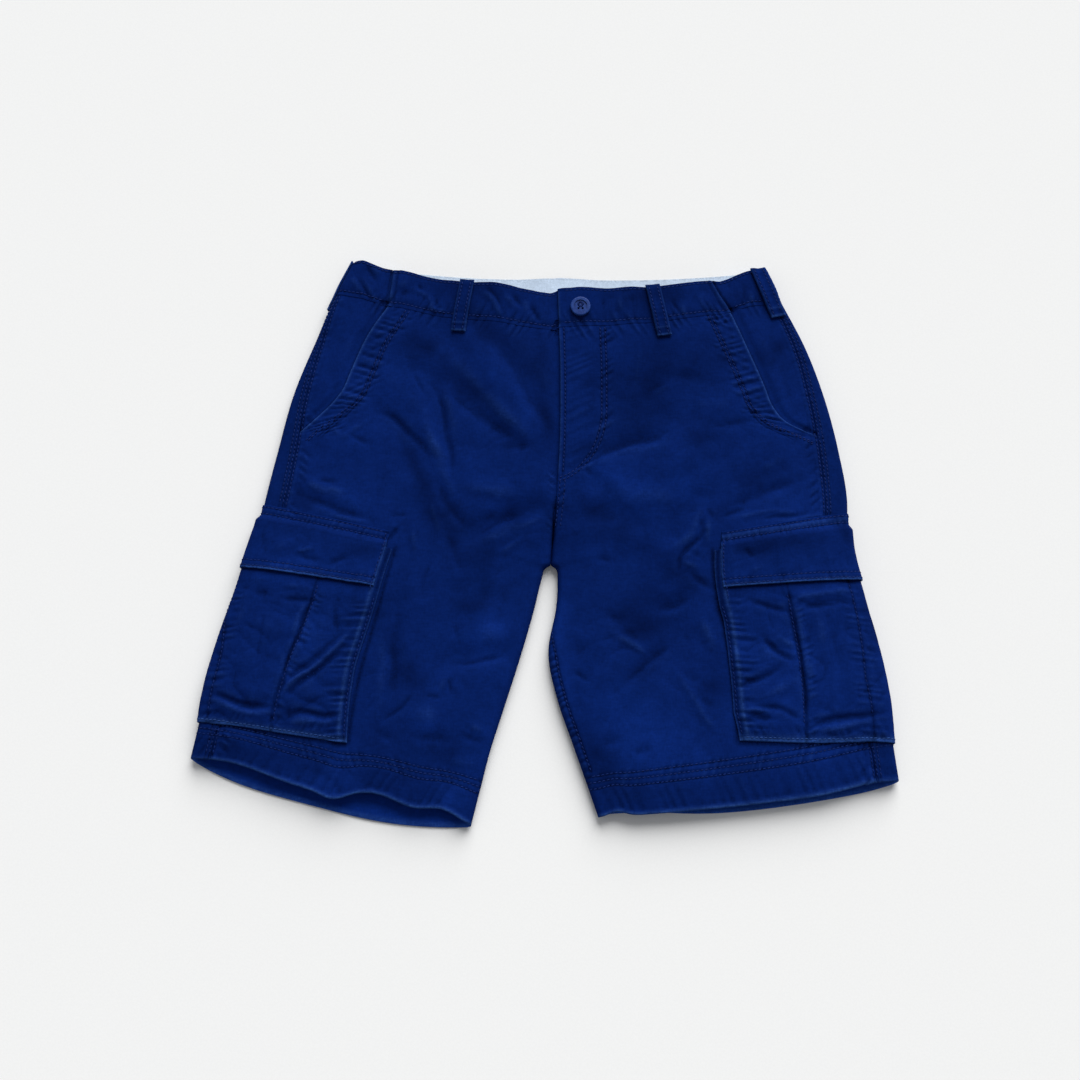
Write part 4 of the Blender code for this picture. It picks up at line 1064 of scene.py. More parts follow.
def seam_relief(side, q, v):
    """What all stitched seams and hems add to the front's height."""
    seed = 0.7 if side == "left" else 2.9
    reach, _ = lengths(side, v)
    total = side_seam_relief(side, q, v, seed) + mouth_relief(side, q, v, seed)
    total += band_seam_relief(q, v, seed) + hem_relief(side, q, v, seed)
    if side == "right":
        total += inseam_relief(reach - q, v, seed) + fly_relief(q, v, reach)
    d = np.abs(reach - q)
    crotch = hump(v, FLY_END - 2, 192, 4) * hump(d, 1.5, 7, 2)
    return total + 0.6 * crotch * rungs(v + 0.6 * d, 5.8, seed + 7)


def row_shade(side, q, v):
    """Dark under the rows of stitches."""
    reach, _ = lengths(side, v)
    total = dark_rows(q - seam_q(side, v), SEAM_ROWS) + dark_rows(v, HEM_ROWS)
    total *= 1 - covered(side, q, v)
    total += hump(v, WAIST_SEAM + 2, MOUTH_END + 2, 3) * dark_rows(q - mouth_q(side, v), MOUTH_ROWS)
    if side == "right":
        leg = soft(v, 268, 290) * (1 - soft(v, 388, 392))
        total += leg * dark_rows(reach - q - inseam_band(v), (0.0,), 1.1, 1.1)
        rows = dark_rows(past_fly_row(q, v), (0.0, FLY_ROWS[0] - FLY_ROWS[1]))
        rows += dark_rows(reach - q, (EDGE_ROW,))
        total += hump(v, WAIST_SEAM + 2, FLY_END + 3, 3) * rows
    return 0.5 * total


def pocket_shadow(side, q, v):
    """Dark of the panel right beside the pocket's front edge and below its bottom."""
    p = np.where(q > 0, q / widening(side, v), q)
    low = pocket_bottom(side, p)
    beside = bell(p - 114.0, 1.7) * hump(v, 226, low + 1, 3)
    below = bell(v - low - 1.4, 1.8) * (1 - soft(p, 110, 116)) * soft(p, -30, -10)
    return 0.55 * np.maximum(beside, below)


def skin_relief(side, q, v, x, y):
    """What the looks add to the front layer's height."""
    small = 1.12 * crumple(x, y, 5 if side == "left" else 40) * (1 - 0.5 * covered(side, q, v))
    small = small * (1.8 - 0.8 * soft(v, 26, 34))
    total = 0.88 * strokes(x, y, FRONT_CREASES) + small + seam_relief(side, q, v)
    total += strokes(q, v, of_side(BAND_CREASES, side))
    return total * (1 - 0.9 * calm(side, q, v))


def own_relief(side, q, v, most=np.inf):
    """skin_relief with x and y worked out from q, which is held below most for that."""
    at = half_skin(side, np.minimum(q, most), v)
    return skin_relief(side, q, v, at[..., 0], at[..., 1])


def back_relief(side, q, v, x, y):
    """What the looks add to the under layer's height."""
    seed = 0.4 if side == "left" else 1.9
    _, reach = lengths(side, v)
    total = bump(x, y, BACK_CREASES)
    total += 0.25 * (1 + rungs(v, 7.1, seed)) * hump(reach + q, 2, 9, 2)
    total += 0.22 * (1 + rungs(-q, 6.9, seed + 1)) * hump(v, 389, 404, 3)
    return total * soft(-q, 60, 90)


def half_skin(side, q, v):
    """Points of one side's outer face, as an array of x y z in mm."""
    ox, oy, fx, fy, bx, by = ends(side, v)
    front_sag, back_sag = (curve(SIDE[side][0], SIDE[side][i], v) for i in (3, 4))
    front = q >= 0
    ix, iy = np.where(front, fx, bx), np.where(front, fy, by)
    sag = np.where(front, front_sag, back_sag)
    width = np.hypot(ix - ox, iy - oy)
    ex, ey = (ix - ox) / width, (iy - oy) / width
    width = width - 0.2 * (1 - hump(v, 196, 218, 6))
    k = np.clip(curve(HEIGHT[0], HEIGHT[3], v), 0, 1)
    inner_r = np.maximum(FOLD_R * k, 1e-3)
    length = width + (math.pi / 2 - 1) * (FOLD_R + inner_r)
    a = np.abs(q)
    rest = length - a
    turn = math.pi / 2
    outer = np.clip(a / FOLD_R, 0, turn)
    inner = np.clip(rest / inner_r, -1, turn)
    across = np.where(a < turn * FOLD_R, FOLD_R * (1 - np.cos(outer)), FOLD_R + a - turn * FOLD_R)
    across = np.where(rest < turn * inner_r, width - inner_r * (1 - np.cos(inner)), across)
    in_width = np.clip(across / width, 0, 1)
    x = ox + ex * across
    y = oy + ey * across - sag * 4 * in_width * (1 - in_width)
    y = y - hem_wave(side, q) * soft(v, 376, HEM)
    waves = np.array(WAIST_WAVES, float).T
    wave = curve(waves[0], waves[1], np.clip(x, waves[0][0], waves[0][-1]))
    y = y - wave * (1 - soft(v, 6, 60)) * soft(q, 0, 12)
    edge, middle = curve(HEIGHT[0], HEIGHT[1], v), curve(HEIGHT[0], HEIGHT[2], v)
    raised = underside(side, -8.0, v) * (1 - in_width) ** 3
    half = edge / 2 + raised
    open_top = edge + (middle - edge) * (1 - (1 - in_width) ** 3)
    tube_top = edge + (middle - edge) * (1 - np.abs(2 * in_width - 1) ** 3)
    relief = np.where(front, fold_relief(x, y) + skin_relief(side, q, v, x, y), 0)
    top = (1 - k) * open_top + k * tube_top + raised + relief * np.sin(outer)
    fall = np.sin(outer) * (1 - k * (1 - np.sin(inner)))
    under = underside(side, np.minimum(q, -8.0), v) + back_relief(side, q, v, x, y)
    z = np.where(front, half + (top - half) * fall, half - (half - under) * fall)
    return np.stack([x, y, z], axis=-1)


def faced(side, q, v):
    """Points of the cloth's outer face and its outward normals."""
    q, v = np.broadcast_arrays(np.asarray(q, float), np.asarray(v, float))
    along_q = skin(side, q + 0.3, v) - skin(side, q - 0.3, v)
    along_v = skin(side, q, v + 0.5) - skin(side, q, v - 0.5)
    out = np.cross(along_q, along_v) * (1 if side == "right" else -1)
    out /= np.linalg.norm(out, axis=-1, keepdims=True)
    return skin(side, q, v), out


# ---- meshes -------------------------------------------------------------------------------
CLOSE = 1.3  # step of the grids of what shows most
COARSE = 3  # the inner face takes every third line of the outer one
EDGE = (0.0, 0.12, 0.35, 0.7, 1.2)  # lines along a rounded edge


def lines(length, fine):
    """Distances of the grid's lines from one edge: close ones at both rounded edges, even ones between."""
    count = max(int(round((length - 2 * EDGE[-1]) / (fine * FINE))), 2)
    count += -(count + 2 * (len(EDGE) - 1)) % COARSE
    middle = np.linspace(EDGE[-1], length - EDGE[-1], count + 1)
    near = np.array(EDGE[:-1])
    return np.concatenate([near, middle, length - near[::-1]])


def spread(start, end, fine):
    """Columns from start to end for each row."""
    start, end = (np.asarray(a, float)[:, None] for a in (start, end))
    size, near = np.median(end - start), EDGE[-1]
    at = lines(size, fine)
    share = np.clip((at - near) / (size - 2 * near), 0, 1)
    first, last = np.minimum(at, near), np.minimum(size - at, near)
    return start + first + share * (end - start - 2 * near) + near - last


def spread_round(start, end, middle, near, far):
    """Columns from start round the side fold to -end: close ones as far as middle, wider ones
    behind it, without the close lines of the two edges that meet there."""
    middle = np.full(len(start), middle)
    front, back = spread(-start, -middle, near), spread(-middle, end, far)
    return -np.concatenate([front[:, :-4], back[:, 3:]], axis=1)


def rows_of(v, q):
    """The v of each row at every column."""
    return np.broadcast_to(v[:, None], q.shape)


def rounding(d, wall):
    """How far a face draws in at a distance from its edge."""
    r = wall / 2
    return 0.88 * (r - np.sqrt(np.maximum(r * r - np.maximum(r - d, 0) ** 2, 0)))


def walls(side, q, v, d, lift, wall):
    """Outer and inner points of a wall of cloth, rounded at its edges; d is in from the nearest."""
    inset = rounding(np.maximum(d, 0), wall)
    at, out = faced(side, q, v)
    return at + out * (lift - inset)[..., None], at + out * (lift - wall + inset)[..., None]


def quads(grid):
    """Faces between the lines of a grid of point numbers."""
    return np.stack([grid[:-1, :-1], grid[:-1, 1:], grid[1:, 1:], grid[1:, :-1]], -1).reshape(-1, 4)


def rim(grid):
    """The grid's outermost point numbers, in order."""
    return np.concatenate([grid[0, :-1], grid[:-1, -1], grid[-1, :0:-1], grid[:0:-1, 0]])


def shell(name, outer, inner, look, wear, dark, flip=False, inside=0.0):
    """A closed wall of cloth: a fine outer grid, and an inner one of every third line. Wear, dark
    (painted shade) and shade (painted light and shade, in part dye tone) are kept on its points;
    inside is the shade of the inner face, painted light where it is set."""
    size = outer.shape[:2]
    inner = inner[::COARSE, ::COARSE]
    count = size[0] * size[1]
    at = np.arange(count).reshape(size)
    low = count + np.arange(inner.shape[0] * inner.shape[1]).reshape(inner.shape[:2])
    faces = quads(at).tolist() + quads(low)[:, ::-1].tolist()
    high_rim, low_rim = rim(at), rim(low)
    for k in range(len(low_rim)):
        run = np.take(high_rim, range(k * COARSE, (k + 1) * COARSE + 1), mode="wrap")
        faces.append([*run[::-1].tolist(), int(low_rim[k]), int(low_rim[(k + 1) % len(low_rim)])])
    if flip:
        faces = [face[::-1] for face in faces]
    points = (np.concatenate([outer.reshape(-1, 3), inner.reshape(-1, 3)]) - MIDDLE) * MM
    made = mesh_object(name, points, faces, look)
    rows = [(share, wide, wide, *path) for share, wide, *path in SHADES]
    # painted light and shade, in part dye tone, on the raised faces only
    shade = strokes(outer[..., 0], outer[..., 1], rows) * soft(outer[..., 2], 6, 9)
    for key, over, under in (("wear", wear, wear), ("dark", dark, dark), ("shade", shade, inside)):
        over, under = np.broadcast_to(over, size), np.broadcast_to(under, size)
        values = np.concatenate([over.reshape(-1), under[::COARSE, ::COARSE].reshape(-1)])
        made.data.attributes.new(key, "FLOAT", "POINT").data.foreach_set("value", values.astype(np.float32))
    return made


def linked(name, data):
    """A new object in the scene."""
    made = bpy.data.objects.new(name, data)
    bpy.context.scene.collection.objects.link(made)
    return made


def mesh_object(name, points, faces, look):
    mesh = bpy.data.meshes.new(name)
    mesh.from_pydata(points.tolist(), [], faces)
    mesh.polygons.foreach_set("use_smooth", np.ones(len(mesh.polygons), bool))
    mesh.update()
    mesh.materials.append(look)
    return linked(name, mesh)


def blurred(field, radius):
    """A grid of values smoothed over a radius in mm, for lines about CLOSE apart."""
    reach = max(int(round(2.2 * radius / (CLOSE * FINE))), 1)
    weight = np.exp(-0.5 * (np.arange(-reach, reach + 1) * CLOSE * FINE / radius) ** 2)
    weight /= weight.sum()
    for axis in (0, 1):
        pad = [(reach, reach) if k == axis else (0, 0) for k in (0, 1)]
        wide = np.pad(field, pad, mode="edge")
        field = sum(
            w * np.take(wide, range(k, k + field.shape[axis]), axis=axis) for k, w in enumerate(weight)
        )
    return field


def wear_and_painted_shade(relief, fine=1.0, broad=1.0):
    """Wear and painted shade of a relief in mm: crests are lighter as washed cloth wears there,
    troughs are darker with painted shade.
    """
    small = relief - blurred(relief, 3.0)
    large = relief - blurred(relief, 14.0)
    wear = 0.12 * fine * soft(small, 0.04, 0.6) + 0.08 * broad * soft(large, 0.1, 2.0)
    # painted shade in the troughs
    dark = 0.28 * fine * soft(-small, 0.02, 0.45) + 0.12 * broad * soft(-large, 0.1, 2.2)
    return wear, dark


def worn(d, width, strength=1.0):
    """Falls off from an edge: wear along edges (at the front hem in part a painted highlight), and the
    mask of the painted shade in the crotch and of the darker line along the waistband's top.
    """
    return strength * np.exp(-((np.maximum(d, 0) / width) ** 2))


# ---- stitches -----------------------------------------------------------------------------
RUN_STEP = 1.2  # between the points of a run


def capsule(sides=6):
    """Template of one stitch, along x from -1 to 1, radius 1."""
    turns = [2 * math.pi * k / sides for k in range(sides)]
    points = [(-1.0, 0, 0)]
    for x, r in ((-0.86, 0.55), (-0.45, 0.95), (0.45, 0.95), (0.86, 0.55)):
        points += [(x, r * math.cos(turn), r * math.sin(turn)) for turn in turns]
    points.append((1.0, 0, 0))
    faces = [(0, 1 + (k + 1) % sides, 1 + k) for k in range(sides)]
    for ring in range(3):
        a = 1 + ring * sides
        for k in range(sides):
            n = (k + 1) % sides
            faces.append((a + k, a + n, a + sides + n, a + sides + k))
    a, last = 1 + 3 * sides, len(points) - 1
    faces += [(a + k, a + (k + 1) % sides, last) for k in range(sides)]
    return np.array(points), faces


def along(where, at, values):
    """Points of a line of values at the places asked for."""
    return np.stack([np.interp(where, at, values[:, k]) for k in range(3)], -1)


def unit(vectors):
    return vectors / np.linalg.norm(vectors, axis=1, keepdims=True)


def stitches_on(run, template):
    """Points of a run's stitches, which lie slightly aslant; None where the run is too short."""
    side, q, v, lift = run
    q, v, lift = np.broadcast_arrays(np.asarray(q, float), np.asarray(v, float), np.asarray(lift, float))
    at, out = faced(side, q, v)
    line = at + out * (lift + 0.08)[..., None]
    size = np.concatenate([[0], np.cumsum(np.linalg.norm(np.diff(line, axis=0), axis=1))])
    centres = np.arange(STITCH_PITCH / 2, size[-1] - STITCH_PITCH / 2, STITCH_PITCH)
    if not len(centres):
        return None
    up = along(centres, size, out)
    ahead = unit(along(centres + 0.5, size, line) - along(centres - 0.5, size, line))
    across = unit(np.cross(up, ahead))
    ahead = ahead + 0.12 * across
    placed = (
        along(centres, size, line)[:, None]
        + ahead[:, None] * template[None, :, :1] * STITCH_LENGTH / 2
        + across[:, None] * template[None, :, 1:2] * STITCH_RADIUS
        + up[:, None] * template[None, :, 2:] * STITCH_RADIUS * 0.8
    )
    placed[..., 2] += np.maximum(-placed[..., 2].min(1, keepdims=True), 0)  # none below the floor
    return placed.reshape(-1, 3)


def stitch_mesh(name, runs, look):
    """Stitches along lines of the surface. A run is side, q, v, lift, each along the line."""
    template, template_faces = capsule()
    placed = [points for points in (stitches_on(run, template) for run in runs) if points is not None]
    points = np.concatenate(placed)
    starts = range(0, len(points), len(template))
    faces = [tuple(start + n for n in face) for start in starts for face in template_faces]
    return mesh_object(name, (points - MIDDLE) * MM, faces, look)


def run_between(start, end):
    return np.linspace(start, end, max(int(abs(end - start) / RUN_STEP), 3))


def down_run(side, q_of_v, start, end, lift_at=None):
    """A run down the garment, q given for each v."""
    v = run_between(start, end)
    q = q_of_v(v)
    return side, q, v, lift_at(side, q, v) if lift_at else 0.0


def level_run(side, level, start, end, lift_at=None):
    """A run round the leg at one v, from q start to q end."""
    q = run_between(start, end)
    v = np.full(q.shape, float(level))
    return side, q, v, lift_at(side, q, v) if lift_at else 0.0


# ---- materials ----------------------------------------------------------------------------
def settle(node, values):
    """Constants of a node's sockets."""
    for key, value in values.items():
        node.inputs[key].default_value = value


def ramp(tree, source, low, high, from_low=0.0, from_high=1.0):
    node = tree.nodes.new("ShaderNodeMapRange")
    tree.links.new(source, node.inputs["Value"])
    settle(node, {"From Min": from_low, "From Max": from_high, "To Min": low, "To Max": high})
    return node.outputs["Result"]


def noise(tree, at, size, detail=2.0, rough=0.55):
    """A noise texture with features of that size in mm."""
    node = tree.nodes.new("ShaderNodeTexNoise")
    tree.links.new(at, node.inputs["Vector"])
    settle(node, {"Scale": 1 / (size * MM), "Detail": detail, "Roughness": rough})
    return node.outputs["Fac"]


def math_node(tree, operation, *values):
    node = tree.nodes.new("ShaderNodeMath")
    node.operation = operation
    for socket, value in zip(node.inputs, values):
        if isinstance(value, (int, float)):
            socket.default_value = value
        else:
            tree.links.new(value, socket)
    return node.outputs[0]


def mix(tree, share, first, second, kind="MIX"):
    node = tree.nodes.new("ShaderNodeMix")
    node.data_type, node.blend_type = "RGBA", kind
    for socket, value in ((node.inputs[0], share), (node.inputs[6], first), (node.inputs[7], second)):
        if isinstance(value, tuple):
            socket.default_value = (*value, 1)
        elif isinstance(value, (int, float)):
            socket.default_value = value
        else:
            tree.links.new(value, socket)
    return node.outputs[2]


def attribute(tree, name):
    node = tree.nodes.new("ShaderNodeAttribute")
    node.attribute_name = name
    return node.outputs["Fac"]


def stretched(tree, at, scale, turn):
    node = tree.nodes.new("ShaderNodeMapping")
    node.vector_type = "TEXTURE"
    node.inputs["Rotation"].default_value = (0, 0, math.radians(turn))
    node.inputs["Scale"].default_value = tuple(1 / c for c in scale)
    tree.links.new(at, node.inputs["Vector"])
    return node.outputs[0]


def new_look(name):
    """A new material with its tree, its shader and the object's own coordinates."""
    made = bpy.data.materials.new(name)
    made.use_nodes = True
    tree = made.node_tree
    at = tree.nodes.new("ShaderNodeTexCoord").outputs["Object"]
    return made, tree, tree.nodes["Principled BSDF"], at


def tint(tree, colour, factor, shader):
    """The shader's colour: a constant or a socket, times a factor."""
    node = tree.nodes.new("ShaderNodeVectorMath")
    node.operation = "SCALE"
    if isinstance(colour, tuple):
        node.inputs[0].default_value = colour
    else:
        tree.links.new(colour, node.inputs[0])
    tree.links.new(factor, node.inputs["Scale"])
    tree.links.new(node.outputs[0], shader.inputs["Base Color"])


def bumps(tree, height, strength, distance, shader):
    """Relief of the shading, distance in mm."""
    node = tree.nodes.new("ShaderNodeBump")
    settle(node, {"Strength": strength, "Distance": distance * MM})
    tree.links.new(height, node.inputs["Height"])
    tree.links.new(node.outputs[0], shader.inputs["Normal"])


WALE = 0.19  # mm, of the twill's diagonal lines
WALE_TURN = 38.0  # degrees


def twill(tree, at, turn):
    """Diagonal wales of the weave."""
    spin = tree.nodes.new("ShaderNodeMapping")
    spin.inputs["Rotation"].default_value = (0, 0, math.radians(WALE_TURN + turn))
    tree.links.new(at, spin.inputs["Vector"])
    node = tree.nodes.new("ShaderNodeTexWave")
    node.wave_type, node.bands_direction = "BANDS", "X"
    tree.links.new(spin.outputs[0], node.inputs["Vector"])
    scale = 1 / (2 * math.pi) / (WALE * MM)
    settle(node, {"Scale": scale, "Distortion": 1.6, "Detail": 1.5, "Detail Scale": 1.2})
    return node.outputs["Fac"]


def cloth_look(name, colour, worn_colour, turn, mottle=0.1):
    """Washed twill: diagonal wales, slubs and mottling, faded where it is worn, darker with painted shade
    in the grooves, lighter or darker with painted light and shade.
    """
    made, tree, shader, at = new_look(name)
    wales = twill(tree, at, turn)
    grain = noise(tree, stretched(tree, at, (1.0, 0.28, 1.0), turn), 1.15, 2.0, 0.65)
    slub = noise(tree, stretched(tree, at, (0.3, 1.0, 1.0), turn), 1.5, 2.0, 0.6)
    patches = noise(tree, at, 11, 3.0, 0.55)
    pits = noise(tree, at, 1.6, 1.0, 0.5)
    shade = math_node(tree, "ADD", ramp(tree, wales, -0.1, 0.1), 1.0)
    for part in (grain, slub, patches):
        shade = math_node(tree, "ADD", shade, ramp(tree, part, -mottle, mottle, 0.3, 0.7))
    # dark is painted shade; the shade attribute is painted light and shade, in part dye tone
    dark = math_node(tree, "MULTIPLY", attribute(tree, "dark"), ramp(tree, pits, 0.8, 1.2, 0.35, 0.65))
    shade = math_node(tree, "MULTIPLY", shade, math_node(tree, "SUBTRACT", 1.0, dark))
    shade = math_node(tree, "MULTIPLY", shade, math_node(tree, "ADD", attribute(tree, "shade"), 1.0))
    worn = math_node(tree, "MULTIPLY", attribute(tree, "wear"), ramp(tree, slub, 0.6, 1.25, 0.3, 0.7))
    worn = math_node(tree, "MULTIPLY", worn, ramp(tree, grain, 0.75, 1.2, 0.3, 0.7))
    held = tree.nodes.new("ShaderNodeClamp")
    tree.links.new(worn, held.inputs[0])
    tint(tree, mix(tree, held.outputs[0], colour, worn_colour), shade, shader)
    settle(shader, {"Roughness": 0.9, "Specular IOR Level": 0.012})
    height = math_node(tree, "MULTIPLY", wales, 0.5)
    for part, share in ((grain, 0.9), (slub, 0.8)):
        height = math_node(tree, "ADD", height, math_node(tree, "MULTIPLY", part, share))
    bumps(tree, height, 0.19, 0.35, shader)
    return made


def thread_look(name, colour):
    made, tree, shader, at = new_look(name)
    plies, slow = (ramp(tree, noise(tree, at, size, 1.0), 0.3, 0.7, 0.3, 0.7) for size in (0.5, 6.0))
    tint(tree, colour, math_node(tree, "ADD", plies, slow), shader)
    settle(shader, {"Roughness": 0.7, "Specular IOR Level": 0.1})
    return made


def button_look():
    made, tree, shader, at = new_look("button_plastic")
    cloudy = noise(tree, at, 2.4, 3.0, 0.5)
    colours = mix(tree, ramp(tree, cloudy, 0, 1, 0.35, 0.65), BUTTON_DARK, BUTTON_LIGHT)
    tree.links.new(colours, shader.inputs["Base Color"])
    tree.links.new(ramp(tree, noise(tree, at, 0.8), 0.28, 0.42), shader.inputs["Roughness"])
    settle(shader, {"Specular IOR Level": 0.12})
    bumps(tree, cloudy, 0.12, 0.1, shader)
    return made


NAVY = (0.0020, 0.0128, 0.102)
NAVY_DEEP = (0.0017, 0.0112, 0.088)
WORN = (0.016, 0.05, 0.19)
PALE = (0.64, 0.77, 0.96)
PALE_WORN = (0.78, 0.86, 0.98)
THREAD_NAVY = (0.0026, 0.0145, 0.106)
THREAD_WORN = (0.018, 0.055, 0.21)
BUTTON_DARK, BUTTON_LIGHT = (0.006, 0.026, 0.145), (0.012, 0.044, 0.21)
# slot: colour, where worn, turn of the weave in degrees, and the strength of its mottling if not 0.1
CLOTHS = {
    "front_cloth": (NAVY, WORN, 0.0),
    "hip_cloth": (NAVY, WORN, 14.0),
    "back_cloth": (NAVY_DEEP, WORN, 4.0),
    "facing_cloth": (NAVY_DEEP, WORN, 2.0),
    "band_cloth": (NAVY, WORN, 90.0),
    "pale_band": (PALE, PALE_WORN, 90.0, 0.05),
    "loop_cloth": (NAVY, WORN, 3.0),
    "pocket_cloth": (NAVY, WORN, 6.0),
    "flap_cloth": (NAVY, WORN, 10.0),
}
LOOKS = {slot: cloth_look(slot, *how) for slot, how in CLOTHS.items()}
LOOKS["thread"] = thread_look("thread_navy", THREAD_NAVY)
LOOKS["thread_worn"] = thread_look("thread_worn", THREAD_WORN)
LOOKS["button"] = button_look()


# ---- pieces -------------------------------------------------------------------------------
def done(made, nodes):
    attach(made, "root")
    if nodes:
        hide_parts(*nodes)
    return made


def flat_of(q, v):
    """Width, length and area, in metres, of a patch laid flat."""
    width = (q.max(1) - q.min(1)) * MM
    length = (v.max(0) - v.min(0)) * MM
    rows = v.mean(1) * MM
    area = float(np.sum((width[1:] + width[:-1]) / 2 * np.diff(rows)))
    return (float(width.max()), float(length.max())), area


def piece(name, side, q, v, lift, wall, slot, wear=0.0, dark=0.0, rests_on=(), inside=0.0):
    q, v = np.broadcast_arrays(q, v)
    d = np.minimum(np.minimum(q - q[:, :1], q[:, -1:] - q), np.minimum(v - v[:1], v[-1:] - v))
    outer, inner = walls(side, q, v, d, lift, wall)
    made = shell(f"{name}_shell", outer, inner, LOOKS[slot], wear, dark, side == "left", inside)
    done(made, [name])
    flat, area = flat_of(q, v)
    list(rests_on)
    min(area, flat[0] * flat[1])
    return made


def hem_wall(v):
    """Wall of a panel, thicker where its hem is turned up."""
    return CLOTH + (HEM_WALL - CLOTH) * soft(v, HEM - HEM_DEPTH - 1, HEM - HEM_DEPTH + 1)


def dip(q, v, reach):
    """How far the left front sinks under the fly edge."""
    fly = 3.1 * soft(q, reach - 13, reach - 1) * (1 - soft(v, FLY_END + 2, FLY_END + 24))
    return np.maximum(fly, 1.5 * soft(q, reach - 2.2, reach - 0.3) * (1 - soft(v, 176, 194)))


def panel_lines(end, fine):
    """v of a panel's rows, from the waistband's seam down."""
    start = WAIST_SEAM + GAP / 2
    return start + lines(end - WAIST_SEAM - GAP / 2, fine)


def front_end(side, v, reach):
    """q of a front's centre edge. The left one passes under the right one down to the crotch."""
    if side == "right":
        return reach - SHORT
    under_fly = np.where(v < FLY_END, 10.0 * (1 - soft(v, 132, FLY_END)), 0.0)
    return reach - SHORT + under_fly + CENTRE_TUCK * hump(v, 180, 207, 3) + 1.6 * hump(v, 136, 182, 6)


def front_panel(side):
    v = panel_lines(HEM, 1.3)
    reach, _ = lengths(side, v)
    start = np.where(v < MOUTH_END, mouth_q(side, v), seam_q(side, v)) + GAP / 2
    q = spread(start, front_end(side, v, reach), 1.3)
    v, reach = rows_of(v, q), reach[:, None]
    wear, dark = wear_and_painted_shade(own_relief(side, q, v, reach - 0.2))
    mouth = hump(v, WAIST_SEAM, MOUTH_END, 3)
    # paler along the mouth's edge and the hem's edge: worn edges, and at the hem's edge in part a painted
    # highlight
    wear = wear + mouth * worn(q - start[:, None], 1.5, 0.7) + worn(HEM - v, 1.7, 0.95)
    if side == "right":
        wear = wear + hump(v, WAIST_SEAM, FLY_END, 3) * worn(reach - q, 1.2, 0.5)
    # painted shade under the rows, beside and below the pocket, and in the crotch between the legs
    dark = dark + row_shade(side, q, v) + pocket_shadow(side, q, v)
    dark = np.clip(dark + 0.7 * hump(v, 171, 198, 5) * worn(reach - q, 2.6), 0, 0.8)
    lift = -dip(q, v, reach) if side == "left" else 0.0
    under = [f"back_{side}_shell"]
    return piece(f"front_{side}", side, q, v, lift, hem_wall(v), "front_cloth", wear, dark, under)


def hip_lift(side, q, v):
    """The hip piece is level with the panels and dips only to pass under the mouth."""
    mouth = mouth_q(side, np.minimum(v, MOUTH_END))
    return -0.1 - (CLOTH + GAP) * soft(q, mouth - 9, mouth - 2.5)


def hip_piece(side):
    v = panel_lines(MOUTH_END + 8, 1.3)
    start = seam_q(side, v) + GAP / 2
    end = np.where(v < MOUTH_END, mouth_q(side, np.minimum(v, MOUTH_END)), start) + FACING_TUCK
    q = spread(start, end, 1.2)
    v = rows_of(v, q)
    wear, dark = wear_and_painted_shade(own_relief(side, q, v) * soft(q, 0, 4))
    mouth = mouth_q(side, np.minimum(v, MOUTH_END))
    # painted shade under the rows and where the hip piece passes under the mouth's edge
    dark = np.clip(dark + row_shade(side, q, v) + 0.5 * soft(q, mouth - 3, mouth + 1), 0, 0.8)
    lift, under = hip_lift(side, q, v), [f"back_{side}_shell"]
    return piece(f"hip_piece_{side}", side, q, v, lift, CLOTH, "hip_cloth", wear, dark, under)


def back_panel(side):
    v = panel_lines(HEM, 1.8)
    _, reach = lengths(side, v)
    end, lift = reach - SHORT, 0.0
    if side == "left":  # tucked over the other back along the seam
        end = end + CENTRE_TUCK * hump(v, 180, 207, 3) + 1.6 * (1 - soft(v, 176, 188))
    q = spread_round(seam_q(side, v) - GAP / 2, end, -14.0, 1.2, 2.8)
    v, reach = rows_of(v, q), reach[:, None]
    if side == "left":
        lift = -1.5 * soft(-q, reach - 2.2, reach - 0.3) * (1 - soft(v, 176, 194))
    near = np.maximum(q, -20)
    wear, dark = wear_and_painted_shade((seam_relief(side, near, v) + crumple(near, v, 5)) * soft(q, -20, -4))
    wear = wear + worn(HEM - v, 1.4, 0.5) + 0.2 * bell(q + 1, 2.5)
    dark = np.clip(dark + row_shade(side, near, v) * soft(q, -20, -12), 0, 0.8)
    # painted light: the inner face near the hem is made lighter where the front hem shades it
    inside = 1.35 * soft(v, 396, 408)
    each = [np.broadcast_to(a, q.shape)[:, ::-1] for a in (q, v, lift, hem_wall(v), wear, dark, inside)]
    q, v, lift, wall, wear, dark, inside = each  # piece wants q to grow along a row
    return piece(f"back_{side}", side, q, v, lift, wall, "back_cloth", wear, dark, inside=inside)


def fly_facing():
    v = WAIST_SEAM + 1 + lines(FLY_END - WAIST_SEAM, 2.2)
    reach, _ = lengths("right", v)
    turn = np.clip((v - FLY_STRAIGHT) / fly_turn(FLY_WIDTH), 0, 1)
    q = spread(reach - FLY_WIDTH * np.sqrt(1 - turn**2) - 2, reach - 0.6, 2.2)
    v = rows_of(v, q)
    wear, under = 0.2 * worn(v, 1), ["front_left_shell"]
    return piece("fly_facing", "right", q, v, -CLOTH - GAP, CLOTH, "facing_cloth", wear, 0.0, under)


# ---- waistband ----------------------------------------------------------------------------
BAND_LIP = 1.3  # of the band's outer layer over the panels
# q of the front waistband's outer end, at the waist edge and at its seam with the panels
BAND_ENDS = {"left": (36.0, 46.0), "right": (48.0, 45.0)}


def band_seam(side, v):
    """q of the seam between the front waistband and the strip round the back."""
    top, low = BAND_ENDS[side]
    return top + (low - top) * v / WAIST_SEAM


def band_lift(q, v):
    """Lift of the waistband's outer face: none on the side folds and under the garment."""
    return BAND_LIFT * soft(q, -7, 5) * soft(v, -1, 3) * (1 - 0.7 * soft(v, 21, 30))


